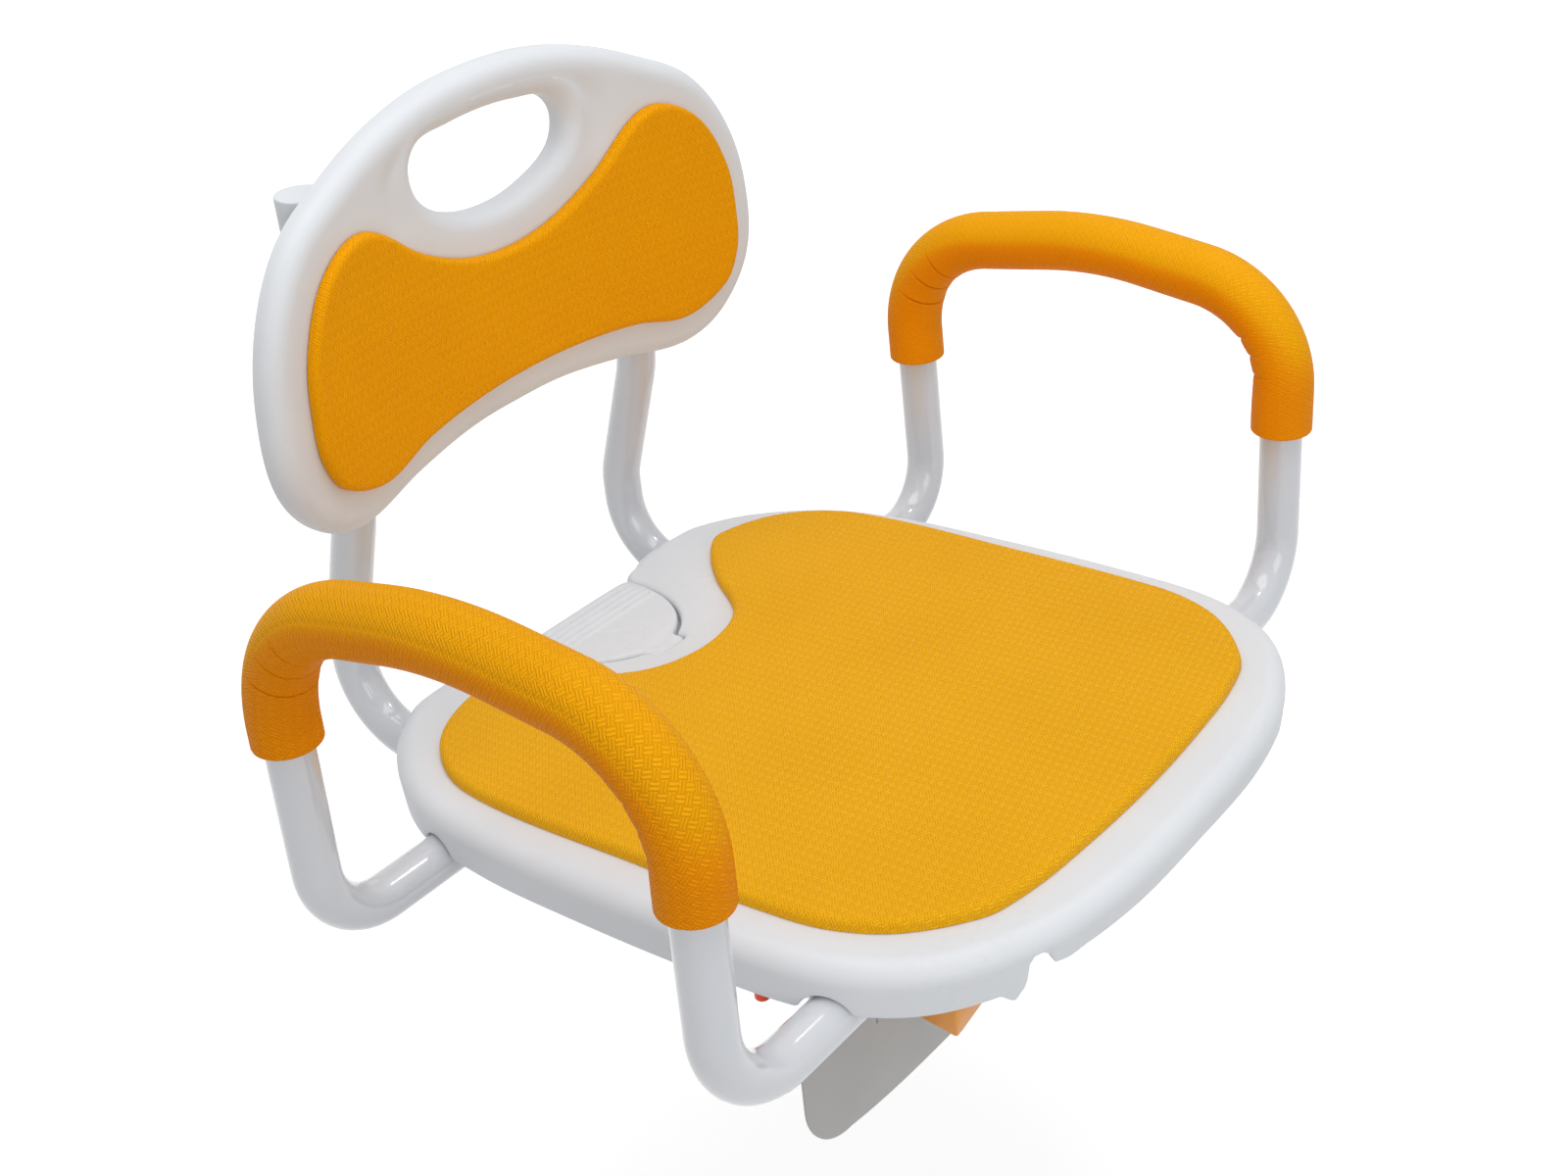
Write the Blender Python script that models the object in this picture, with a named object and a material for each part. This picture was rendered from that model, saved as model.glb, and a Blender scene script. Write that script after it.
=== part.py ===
"""Swivel bath seat: a turning seat shell with arm loops, a backrest, pads and release levers."""

import math

import bmesh
import bpy
from mathutils import Matrix, Vector

# Frame: metres, +Z up, the seat faces -Y, the origin is on the turning axis at the base plate's underside

# Clearances
GAP = 0.0003
SLIDE_GAP = 0.0004
CURVED_GAP = 0.0008

# Tubes
TUBE_RADIUS = 0.0127
TUBE_WALL = 0.0012
SOCKET_RADIUS = 0.0150
SOCKET_WALL = 0.0018
CROSS_HEIGHT = 0.0650

# Seat shell
SEAT_TOP = 0.1000
SHELL_HALF_WIDTH = 0.2200
SHELL_FRONT = -0.2320
SHELL_REAR = 0.2375
SHELL_REAR_DIP = 0.0090
SHELL_FRONT_CORNER = 0.1150
SHELL_REAR_CORNER = 0.0800
SHELL_EDGE_RADIUS = 0.0140
SHELL_WALL = 0.0040
SKIRT_BOTTOM = 0.0710
SKIRT_DRAFT = 0.0020
FRONT_LIP_HALF_WIDTH = 0.1420
FRONT_ARCH_HALF_WIDTH = 0.0055
FRONT_ARCH_TOP = 0.0880
FRONT_TAB_BOTTOM = 0.0760
NOTCH_GAP = 0.0035
DISH_DEPTH = 0.0070
DISH_HALF_WIDTH = 0.0740
DISH_LENGTH = 0.1200
DISH_BACKING = 0.0120
REAR_LIP_TOP = 0.0780

# Seat pad
PAD_THICKNESS = 0.0072
PAD_EDGE_RADIUS = 0.0030
PAD_HALF_WIDTH = 0.1940
PAD_FRONT = -0.2000
PAD_REAR = 0.1990
PAD_FRONT_CORNER = 0.1050
PAD_LOBE_X = 0.1220
PAD_RECESS_DEPTH = 0.0880
PAD_RECESS_HALF_WIDTH = 0.0760

# Arm loops
ARM_HALF_SPAN = 0.2900
ARM_FRONT = -0.1300
ARM_REAR = 0.1420
ARM_FRONT_TOP = 0.2750
ARM_CROWN_TOP = 0.2870
ARM_CROWN_Y = 0.0350
ARM_REAR_TOP = 0.2680
ARM_FRONT_BEND = 0.0820
ARM_REAR_BEND = 0.0850
ARM_CROWN_BEND = 0.2500
ARM_FOOT_BEND = 0.0465
ARM_END = 0.1600
GRIP_RADIUS = 0.0190
GRIP_BOTTOM = 0.1850

# Back uprights
UPRIGHT_X = 0.1310
UPRIGHT_Y = 0.2600
UPRIGHT_TOP_Y = 0.2468
UPRIGHT_BULGE_Y = 0.2890
UPRIGHT_BULGE_Z = 0.1320
UPRIGHT_LEAN_Z = 0.2180
UPRIGHT_TOP = 0.4080
UPRIGHT_FOOT = 0.1650
UPRIGHT_FOOT_BEND = 0.0480
UPRIGHT_LOW_BEND = 0.0520
UPRIGHT_HIGH_BEND = 0.0700
CAP_RADIUS = 0.0142
CAP_THICKNESS = 0.0045
CAP_PLUG_LENGTH = 0.0120

# Backrest
BACK_DEPTH_Y = 0.2311
BACK_MIDDLE_Z = 0.3300
BACK_LEAN = math.radians(-2.2)
BACK_CURVE_RADIUS = 0.7890
BACK_HALF_WIDTH = 0.2060
BACK_TOP = 0.4550
BACK_BOTTOM = 0.2460
BACK_LOBE_DROP = 0.0190
BACK_THICKNESS = 0.0180
BACK_EDGE_RADIUS = 0.0130
BACK_WALL = 0.0035
HANDLE_HALF_WIDTH = 0.0635
HANDLE_BOTTOM = 0.3710
HANDLE_TOP = 0.4290
HANDLE_EDGE_RADIUS = 0.0080
BACK_PAD_HALF_WIDTH = 0.1835
BACK_PAD_TOP = 0.3990
BACK_PAD_MIDDLE_TOP = 0.3490
BACK_PAD_BOTTOM = 0.2540
BACK_PAD_MIDDLE_BOTTOM = 0.2710
BACK_SCREW_LOW_Z = 0.2750
BACK_SCREW_HIGH_Z = 0.3650
BOSS_RADIUS = 0.0080

# Base and turntable
BASE_RADIUS = 0.0960
BASE_THICKNESS = 0.0050
BASE_SCREW_CIRCLE = 0.0880
MOUNT_HOLE_RADIUS = 0.0033
MOUNT_HOLES = 4
HUB_RADIUS = 0.0540
HUB_FLANGE_RADIUS = 0.0720
HUB_FLANGE_THICKNESS = 0.0047
HUB_HEIGHT = 0.0167
INDEX_RADIUS = 0.0780
INDEX_THICKNESS = 0.0050
INDEX_NOTCHES = 12
INDEX_NOTCH_DEPTH = 0.0036
INDEX_SCREW_CIRCLE = 0.0640
INDEX_SCREWS = 4
INDEX_SCREW_RADIUS = 0.0024
INDEX_SCREW_HEAD_RADIUS = 0.0046
INDEX_SCREW_HEAD_HEIGHT = 0.0022
INDEX_SCREW_END = 0.0015
SPINDLE_RADIUS = 0.0097
SPINDLE_FLANGE_RADIUS = 0.0180
SPINDLE_FLANGE_THICKNESS = 0.0035
SPINDLE_TAIL = 0.0024
BUSHING_WALL = 0.0022
THRUST_INNER_RADIUS = 0.0300
THRUST_THICKNESS = 0.0040
TURNTABLE_RADIUS = 0.0850
TURNTABLE_THICKNESS = 0.0040
WASHER_RADIUS = 0.0200
WASHER_THICKNESS = 0.0020
NUT_RADIUS = 0.0165
NUT_HEIGHT = 0.0100

# Frame
FRAME_BOLT_RADIUS = 0.0028
FRAME_BOLT_HEAD_RADIUS = 0.0050
TURNTABLE_BOLT_Y = 0.0400
TURNTABLE_BOLT_HEAD = 0.0030
TURNTABLE_BOLT_LENGTH = 0.0180
SEAT_SCREW_HEAD = 0.0035
CENTRE_RAIL_X = 0.0620
CENTRE_RAIL_WIDTH = 0.0200
CENTRE_RAIL_OVERHANG = 0.0200
SOCKET_END_SETBACK = 0.0110
SIDE_RAIL_SETBACK = 0.0245
SIDE_RAIL_WIDTH = 0.0140
SIDE_RAIL_HEIGHT = 0.0160
SIDE_RAIL_LIFT = 0.0010
BACK_SOCKET_LENGTH = 0.0560
SEAT_SCREW_X = 0.1150

# Guard plate
GUARD_HALF_WIDTH = 0.2145
GUARD_THICKNESS = 0.0020
GUARD_BOTTOM = -0.0418
GUARD_BOTTOM_BOW = 0.0065
GUARD_TOP = 0.0280
GUARD_CORNER = 0.0350
GUARD_TAB_X = 0.1500
GUARD_TAB_WIDTH = 0.0360
GUARD_TAB_RISE = 0.0190
GUARD_SLOT_WIDTH = 0.0060
GUARD_SLOT_BOTTOM = 0.0140
GUARD_SLOT_RISE = 0.0090

# Release parts
ROD_X = -0.0950
ROD_HEIGHT = 0.0160
ROD_WIDTH = 0.0060
FRONT_AXLE_Y = -0.0980
FRONT_AXLE_Z = 0.0400
FRONT_AXLE_RADIUS = 0.0040
REAR_SHAFT_Y = 0.1700
REAR_SHAFT_Z = 0.0780
REAR_SHAFT_RADIUS = 0.0035
CRANK_RADIUS = 0.0040
CRANK_NECK = 0.0026
FORK_WALL = 0.0040
LEVER_LEFT_END = -0.1605
LEVER_RIGHT_END = -0.1040
LEVER_FRONT = -0.1705
LEVER_PADDLE_DEPTH = 0.0225
LEVER_PADDLE_TOP = 0.0420
LEVER_PADDLE_THICKNESS = 0.0060
LEVER_ARM_THICKNESS = 0.0080
LEVER_HUB_RADIUS = 0.0080
LEVER_HUB_LENGTH = 0.0380
LEVER_ARM_TOP = 0.0355
LEVER_ARM_WIDTH = 0.0240
LEVER_CORNER = 0.0050
LEVER_TAPER = 0.0060
CRANK_WIDTH = 0.0100
SPRING_LENGTH = 0.0120
SPRING_WIRE = 0.0006
SPRING_TURNS = 5
TONGUE_HALF_WIDTH = 0.0550
TONGUE_FRONT = 0.1490
TONGUE_REAR = 0.2260
TONGUE_SIDE = 0.0060
TONGUE_TOP = 0.0968
TONGUE_THICKNESS = 0.0070
TONGUE_GAP = 0.0026
TONGUE_RIB_COUNT = 5
TONGUE_RIB_PITCH = 0.0062
TONGUE_RIB_HEIGHT = 0.0008
TONGUE_LUG_X = 0.0300
SHAFT_LUG_X = 0.0700
LATCH_NOSE_WIDTH = 0.0120
LATCH_ENGAGEMENT = 0.0032
LATCH_NOSE_BOTTOM = 0.0090
LATCH_NOSE_TOP = 0.0170
LATCH_BAR_Y = -0.0920
LATCH_BAR_WIDTH = 0.0080
LATCH_BAR_TOP = 0.0240
LATCH_GUIDE_CLEARANCE = 0.0032
LATCH_GUIDE_DEPTH = 0.0050
BUTTON_RADIUS = 0.0043
BUTTON_Y = -0.0770
BUTTON_DROP = 0.0205
BUTTON_DEPTH = 0.0080
BUTTON_TRAVEL = 0.0030

# Facets
TUBE_SIDES = 12
BEND_STEP = math.radians(22.5)
ROUND_SIDES = 24
SMALL_SIDES = 12

# Heights and places that follow from the sizes above
SOCKET_HALF_LENGTH = SHELL_HALF_WIDTH - SOCKET_END_SETBACK
SIDE_RAIL_X = SHELL_HALF_WIDTH - SIDE_RAIL_SETBACK
SIDE_RAIL_BOTTOM = CROSS_HEIGHT + SIDE_RAIL_LIFT
GUARD_TAB_TOP = CROSS_HEIGHT + GUARD_TAB_RISE
GUARD_SLOT_TOP = CROSS_HEIGHT + GUARD_SLOT_RISE
SHELL_UNDERSIDE = SEAT_TOP - SHELL_WALL
FRONT_LIP_BOTTOM = SEAT_TOP - SHELL_EDGE_RADIUS - 0.0045
SOCKET_TOP = CROSS_HEIGHT + SOCKET_RADIUS
SOCKET_BOTTOM = CROSS_HEIGHT - SOCKET_RADIUS
HUB_BOTTOM = BASE_THICKNESS + GAP
HUB_TOP = HUB_BOTTOM + HUB_HEIGHT
INDEX_BOTTOM = HUB_BOTTOM + HUB_FLANGE_THICKNESS + GAP
INDEX_TOP = INDEX_BOTTOM + INDEX_THICKNESS
THRUST_BOTTOM = HUB_TOP + GAP
TURNTABLE_BOTTOM = THRUST_BOTTOM + THRUST_THICKNESS + GAP
TURNTABLE_TOP = TURNTABLE_BOTTOM + TURNTABLE_THICKNESS
RAIL_BOTTOM = TURNTABLE_TOP + GAP
RAIL_TOP = SOCKET_BOTTOM - GAP
WASHER_BOTTOM = TURNTABLE_TOP + GAP
NUT_BOTTOM = WASHER_BOTTOM + WASHER_THICKNESS + GAP
GUARD_FACE = ARM_FRONT + SOCKET_RADIUS + GAP
REAR_SOCKET_BACK = ARM_REAR + SOCKET_RADIUS + GAP


def clear_scene():
    """Remove every object of the open scene."""
    for item in list(bpy.data.objects):
        bpy.data.objects.remove(item, do_unlink=True)


def make_material(name, colour, roughness, metallic=0.0):
    """Return a Principled material of one colour."""
    material = bpy.data.materials.new(name)
    material.use_nodes = True
    shader = material.node_tree.nodes["Principled BSDF"]
    shader.inputs["Base Color"].default_value = (*colour, 1.0)
    shader.inputs["Roughness"].default_value = roughness
    shader.inputs["Metallic"].default_value = metallic
    material.diffuse_color = (*colour, 1.0)
    return material


def white_plastic(name):
    """Satin white moulding."""
    return make_material(name, (0.78, 0.80, 0.80), 0.35)


def orange_foam(name):
    """Moulded foam of pads and grips."""
    return make_material(name, (0.83, 0.35, 0.01), 0.60)


def white_coating(name):
    """Glossy coated tube."""
    return make_material(name, (0.80, 0.83, 0.84), 0.20)


def bright_steel(name):
    """Plated steel."""
    return make_material(name, (0.60, 0.61, 0.62), 0.30, 1.0)


def black_polymer(name):
    """Low friction polymer."""
    return make_material(name, (0.04, 0.04, 0.045), 0.45)


def grey_sheet(name):
    """Grey guard sheet."""
    return make_material(name, (0.34, 0.32, 0.31), 0.55)


def orange_plastic(name):
    """Translucent-looking orange lever."""
    return make_material(name, (0.85, 0.38, 0.05), 0.35)


def red_plastic(name):
    """Red push button."""
    return make_material(name, (0.80, 0.06, 0.02), 0.35)


def add_object(name, shape, material, origin=(0.0, 0.0, 0.0), parent=None):
    """Turn a bmesh in world coordinates into an object whose origin is at the given point."""
    bmesh.ops.remove_doubles(shape, verts=shape.verts, dist=1e-6)
    bmesh.ops.recalc_face_normals(shape, faces=shape.faces)
    offset = Vector(origin)
    bmesh.ops.translate(shape, verts=shape.verts, vec=-offset)
    mesh = bpy.data.meshes.new(name)
    shape.to_mesh(mesh)
    shape.free()
    mesh.shade_smooth()
    mesh.set_sharp_from_angle(angle=math.radians(35))
    item = bpy.data.objects.new(name, mesh)
    item.data.materials.append(material(name))
    bpy.context.scene.collection.objects.link(item)
    if parent is None:
        item.location = offset
    else:
        item.parent = parent
        item.location = offset - parent.location
    return item


def add_pivot(name, place):
    """Add an empty on a joint's axis."""
    pivot = bpy.data.objects.new(name, None)
    pivot.location = place
    pivot.empty_display_size = 0.02
    bpy.context.scene.collection.objects.link(pivot)
    return pivot


def add_helper(shape):
    """Add a hidden body that only cuts or joins others."""
    helper = add_object("helper", shape, white_plastic)
    helper.hide_render = True
    helper.display_type = "WIRE"
    return helper


def combine(target, shape, operation):
    """Cut a bmesh out of an object, or join it on, with an exact Boolean."""
    modifier = target.modifiers.new(operation.lower(), "BOOLEAN")
    modifier.operation = operation
    modifier.solver = "EXACT"
    modifier.object = add_helper(shape)


def cut(target, shape):
    """Cut a bmesh out of an object."""
    combine(target, shape, "DIFFERENCE")


def join(target, shape):
    """Join a bmesh on to an object."""
    combine(target, shape, "UNION")


def loft(loops, closed=False):
    """Return a closed bmesh through loops of equal count, capped at both ends or closed on itself."""
    shape = bmesh.new()
    rings = [[shape.verts.new(point) for point in loop] for loop in loops]
    pairs = list(zip(rings, rings[1:]))
    if closed:
        pairs.append((rings[-1], rings[0]))
    for low, high in pairs:
        for index, vertex in enumerate(low):
            after = (index + 1) % len(low)
            shape.faces.new((vertex, low[after], high[after], high[index]))
    if not closed:
        shape.faces.new(list(reversed(rings[0])))
        shape.faces.new(rings[-1])
    return shape


def circle(radius, sides, phase=0.0):
    """Return points of a circle in its own plane."""
    step = 2 * math.pi / sides
    return [(radius * math.cos(phase + step * i), radius * math.sin(phase + step * i)) for i in range(sides)]


def turned(profile, place=(0.0, 0.0, 0.0), axis="Z", sides=ROUND_SIDES, bored=False):
    """Return a body turned about an axis from (radius, height) points."""
    loops = [[(x, y, height) for x, y in circle(radius, sides)] for radius, height in profile]
    shape = loft(loops, closed=bored)
    turns = {
        "Z": Matrix.Identity(3),
        "X": Matrix.Rotation(math.pi / 2, 3, "Y"),
        "Y": Matrix.Rotation(-math.pi / 2, 3, "X"),
        "-Z": Matrix.Rotation(math.pi, 3, "X"),
        "-Y": Matrix.Rotation(math.pi / 2, 3, "X"),
        "-X": Matrix.Rotation(-math.pi / 2, 3, "Y"),
    }
    bmesh.ops.transform(shape, matrix=turns[axis].to_4x4(), verts=shape.verts)
    bmesh.ops.translate(shape, verts=shape.verts, vec=Vector(place))
    return shape


def rod(radius, start, length, axis="Z", sides=SMALL_SIDES):
    """Return a plain cylinder from a start point along an axis."""
    return turned([(radius, 0.0), (radius, length)], start, axis, sides)


def ring(inner, outer, bottom, top, sides=ROUND_SIDES):
    """Return a flat ring about the turning axis."""
    return turned([(outer, bottom), (outer, top), (inner, top), (inner, bottom)], sides=sides, bored=True)


def box(low, high):
    """Return a box between two corners."""
    corners = [(low[0], low[1]), (high[0], low[1]), (high[0], high[1]), (low[0], high[1])]
    return loft([[(x, y, low[2]) for x, y in corners], [(x, y, high[2]) for x, y in corners]])


def extrude_x(outline, left, right):
    """Return a (y, z) outline extruded along X."""
    return loft([[(left, y, z) for y, z in outline], [(right, y, z) for y, z in outline]])


def extrude_y(outline, front, back):
    """Return an (x, z) outline extruded along Y."""
    return loft([[(x, front, z) for x, z in outline], [(x, back, z) for x, z in outline]])


def extrude_z(outline, bottom, top):
    """Return an (x, y) outline extruded along Z."""
    return loft([[(x, y, bottom) for x, y in outline], [(x, y, top) for x, y in outline]])


def add_numbered(name, shapes, material, parent=None):
    """Add several like pieces, each as its own numbered object."""
    for number, shape in enumerate(shapes, start=1):
        add_object(f"{name}_{number}", shape, material, parent=parent)


def bent_path(corners, radii):
    """Return points along a line whose inner corners are rounded to the given radii."""
    points = [Vector(corners[0])]
    for before, corner, after, radius in zip(corners, corners[1:], corners[2:], radii):
        corner = Vector(corner)
        incoming = (corner - Vector(before)).normalized()
        outgoing = (Vector(after) - corner).normalized()
        angle = incoming.angle(outgoing)
        setback = radius * math.tan(angle / 2)
        start = corner - incoming * setback
        side = (outgoing - incoming * incoming.dot(outgoing)).normalized()
        centre = start + side * radius
        steps = max(2, math.ceil(angle / BEND_STEP))
        for step in range(steps + 1):
            turn = angle * step / steps
            points.append(centre - side * radius * math.cos(turn) + incoming * radius * math.sin(turn))
    points.append(Vector(corners[-1]))
    return points


def swept_loops(path, radius, sides, normal):
    """Return circles along a path, turned as little as possible from one to the next."""
    loops = []
    normal = Vector(normal)
    last = len(path) - 1
    for index, point in enumerate(path):
        tangent = (path[min(index + 1, last)] - path[max(index - 1, 0)]).normalized()
        normal = (normal - tangent * tangent.dot(normal)).normalized()
        across = tangent.cross(normal)
        loops.append([point + normal * u + across * v for u, v in circle(radius, sides)])
    return loops


def pipe(path, outer, inner, normal, sides=TUBE_SIDES):
    """Return a hollow tube along a path."""
    outside = swept_loops(path, outer, sides, normal)
    inside = swept_loops(path, inner, sides, normal)
    return loft(outside + inside[::-1], closed=True)


def smooth_outline(half, steps):
    """Return a closed curve through half an outline's points and their mirror, from rear to front."""
    whole = half + [(-x, y) for x, y in half[-2:0:-1]]
    count = len(whole)
    points = []
    for index in range(count):
        p0, p1, p2, p3 = (Vector(whole[(index + k) % count]) for k in (-1, 0, 1, 2))
        reach = (p2 - p1).length
        m1 = (p2 - p0) * (reach / max((p2 - p0).length, 1e-9))
        m2 = (p3 - p1) * (reach / max((p3 - p1).length, 1e-9))
        for step in range(steps):
            t = step / steps
            a = 2 * t**3 - 3 * t**2 + 1
            b = t**3 - 2 * t**2 + t
            c = -2 * t**3 + 3 * t**2
            d = t**3 - t**2
            points.append(p1 * a + m1 * b + p2 * c + m2 * d)
    return points


def inset(outline, distance):
    """Move a closed outline inwards by a distance, along its own normals."""
    count = len(outline)
    centre_turn = sum(
        outline[i].x * outline[(i + 1) % count].y - outline[(i + 1) % count].x * outline[i].y for i in range(count)
    )
    sign = -1.0 if centre_turn > 0 else 1.0
    moved = []
    for index, point in enumerate(outline):
        along = (outline[(index + 1) % count] - outline[index - 1]).normalized()
        moved.append(point + Vector((along.y, -along.x)) * sign * distance)
    return moved


def rounded(radius, steps=3):
    """Return (inset, drop) pairs round a quarter circle, from the side up to the top."""
    turns = [math.pi / 2 * step / steps for step in range(steps + 1)]
    return [(radius * (1 - math.cos(turn)), radius * (1 - math.sin(turn))) for turn in turns]


def seat_outline():
    """Return the seat shell's widest outline."""
    width, rear, front = SHELL_HALF_WIDTH, SHELL_REAR, SHELL_FRONT
    back_turn, front_turn = SHELL_REAR_CORNER, SHELL_FRONT_CORNER
    dip = SHELL_REAR_DIP
    half = [
        (0.0, rear - dip),
        (0.26 * width, rear - 0.94 * dip),
        (0.41 * width, rear - 0.05 * dip),
        (0.57 * width, rear - 0.11 * dip),
        (width - 0.55 * back_turn, rear - 0.32 * back_turn),
        (width - 0.17 * back_turn, rear - 0.95 * back_turn),
        (width - 0.04 * back_turn, rear - 1.66 * back_turn),
        (width, 0.17 * rear),
        (0.997 * width, 0.26 * front),
        (width - 0.07 * front_turn, front + 0.89 * front_turn),
        (width - 0.30 * front_turn, front + 0.47 * front_turn),
        (width - 0.74 * front_turn, front + 0.175 * front_turn),
        (width - 1.26 * front_turn, front + 0.043 * front_turn),
        (0.0, front),
    ]
    return smooth_outline(half, 2)


def pad_outline():
    """Return the seat pad's outline, with the recess at its rear."""
    width, rear, front = PAD_HALF_WIDTH, PAD_REAR, PAD_FRONT
    floor = rear - PAD_RECESS_DEPTH
    flank = PAD_RECESS_HALF_WIDTH
    outer = width - PAD_LOBE_X
    turn = PAD_FRONT_CORNER
    half = [
        (0.0, floor),
        (0.55 * flank, floor + 0.14 * PAD_RECESS_DEPTH),
        (flank, floor + 0.62 * PAD_RECESS_DEPTH),
        (flank + 0.55 * (PAD_LOBE_X - flank), floor + 0.90 * PAD_RECESS_DEPTH),
        (PAD_LOBE_X, rear),
        (PAD_LOBE_X + 0.62 * outer, rear - 0.30 * outer),
        (width - 0.04 * outer, rear - 0.95 * outer),
        (width, 0.5 * (rear + front)),
        (width - 0.05 * turn, front + 1.0 * turn),
        (width - 0.32 * turn, front + 0.38 * turn),
        (width - 1.0 * turn, front + 0.05 * turn),
        (0.0, front),
    ]
    return smooth_outline(half, 3)


def back_outline():
    """Return the backrest shell's outline in (x, height)."""
    width, top, bottom = BACK_HALF_WIDTH, BACK_TOP, BACK_BOTTOM
    tall = top - bottom
    drop = BACK_LOBE_DROP
    half = [
        (0.0, top),
        (0.22 * width, top - 0.024 * tall),
        (0.43 * width, top - 0.072 * tall),
        (0.62 * width, top - 0.145 * tall),
        (0.81 * width, top - 0.240 * tall),
        (0.94 * width, top - 0.400 * tall),
        (width, top - 0.610 * tall),
        (0.99 * width, bottom + 0.150 * tall),
        (0.87 * width, bottom - 0.24 * drop),
        (0.70 * width, bottom - drop),
        (0.44 * width, bottom - 0.40 * drop),
        (0.20 * width, bottom + 0.05 * drop),
        (0.0, bottom),
    ]
    return smooth_outline(half, 2)


def handle_outline():
    """Return the hand opening's outline in (x, height), with as many points as the shell's."""
    width, top, bottom = HANDLE_HALF_WIDTH, HANDLE_TOP, HANDLE_BOTTOM
    tall = top - bottom
    half = [
        (0.0, top),
        (0.45 * width, top - 0.01 * tall),
        (0.84 * width, top - 0.09 * tall),
        (width, top - 0.36 * tall),
        (0.94 * width, bottom + 0.29 * tall),
        (0.48 * width, bottom + 0.05 * tall),
        (0.0, bottom),
    ]
    return smooth_outline(half, 4)


def back_pad_outline():
    """Return the back pad's outline in (x, height)."""
    width = BACK_PAD_HALF_WIDTH
    top, middle_top = BACK_PAD_TOP, BACK_PAD_MIDDLE_TOP
    bottom, middle_bottom = BACK_PAD_BOTTOM, BACK_PAD_MIDDLE_BOTTOM
    tall = top - bottom
    rise = top - middle_top
    drop = middle_bottom - bottom
    half = [
        (0.0, middle_top),
        (0.20 * width, middle_top + 0.08 * rise),
        (0.40 * width, middle_top + 0.40 * rise),
        (0.65 * width, top),
        (0.845 * width, top - 0.09 * tall),
        (0.97 * width, top - 0.35 * tall),
        (width, top - 0.64 * tall),
        (0.985 * width, bottom + 0.21 * tall),
        (0.92 * width, bottom + 0.08 * tall),
        (0.735 * width, bottom),
        (0.51 * width, bottom + 0.70 * drop),
        (0.245 * width, bottom + 0.94 * drop),
        (0.0, middle_bottom),
    ]
    return smooth_outline(half, 2)


def back_surface(x, height, depth):
    """Return the point of the backrest's curved face at (x, height), a depth behind it."""
    rise = height - BACK_MIDDLE_Z
    sag = BACK_CURVE_RADIUS - math.sqrt(BACK_CURVE_RADIUS**2 - x**2)
    place_y = BACK_DEPTH_Y - sag + rise * math.sin(BACK_LEAN) + depth
    return (x, place_y, BACK_MIDDLE_Z + rise * math.cos(BACK_LEAN))


def between(first, second, share):
    """Return the outline part of the way from one outline to another."""
    return [a.lerp(b, share) for a, b in zip(first, second)]


def screw(place, axis, head_radius, head_height, shank_radius, length, sides=SMALL_SIDES):
    """Return a screw whose head's underside is at a place and whose shank points along an axis."""
    profile = [
        (head_radius, -head_height),
        (head_radius, 0.0),
        (shank_radius, 0.0),
        (shank_radius, length),
    ]
    return turned(profile, place, axis, sides)


def sides_of(value):
    """Return the left-hand and right-hand signed pairs of a value."""
    return (("left", value), ("right", -value))


def make_base():
    """Build the fixed base plate with its hub, index ring and fixings."""
    make_mount_plate()
    make_hub()
    make_index_ring()
    make_spindle()
    make_washer_and_nut()
    add_object("thrust_bearing", ring(THRUST_INNER_RADIUS, HUB_RADIUS - 0.002, THRUST_BOTTOM,
                                      THRUST_BOTTOM + THRUST_THICKNESS), black_polymer)


def on_circle(radius, count, phase=math.pi / 4):
    """Return points evenly spaced on a circle about the turning axis."""
    return circle(radius, count, phase)


def make_mount_plate():
    """Build the round plate that bolts to a carrier."""
    plate = add_object("mount_plate", turned([(BASE_RADIUS, 0.0), (BASE_RADIUS, BASE_THICKNESS)]), bright_steel)
    for x, y in on_circle(BASE_SCREW_CIRCLE, MOUNT_HOLES):
        cut(plate, rod(MOUNT_HOLE_RADIUS, (x, y, -0.01), 0.02))
    for x, y in on_circle(INDEX_SCREW_CIRCLE, INDEX_SCREWS):
        cut(plate, rod(INDEX_SCREW_RADIUS + GAP, (x, y, INDEX_SCREW_END - 0.0005), 0.02))


def make_hub():
    """Build the polymer hub that the seat turns on."""
    profile = [
        (SPINDLE_FLANGE_RADIUS + GAP, HUB_BOTTOM),
        (HUB_FLANGE_RADIUS, HUB_BOTTOM),
        (HUB_FLANGE_RADIUS, HUB_BOTTOM + HUB_FLANGE_THICKNESS),
        (HUB_RADIUS, HUB_BOTTOM + HUB_FLANGE_THICKNESS),
        (HUB_RADIUS, HUB_TOP),
        (SPINDLE_RADIUS + GAP, HUB_TOP),
        (SPINDLE_RADIUS + GAP, HUB_BOTTOM + SPINDLE_FLANGE_THICKNESS + GAP),
        (SPINDLE_FLANGE_RADIUS + GAP, HUB_BOTTOM + SPINDLE_FLANGE_THICKNESS + GAP),
    ]
    hub = add_object("bearing_hub", turned(profile, bored=True), white_plastic)
    for x, y in on_circle(INDEX_SCREW_CIRCLE, INDEX_SCREWS):
        cut(hub, rod(INDEX_SCREW_RADIUS + GAP, (x, y, 0.0), HUB_HEIGHT))


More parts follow.
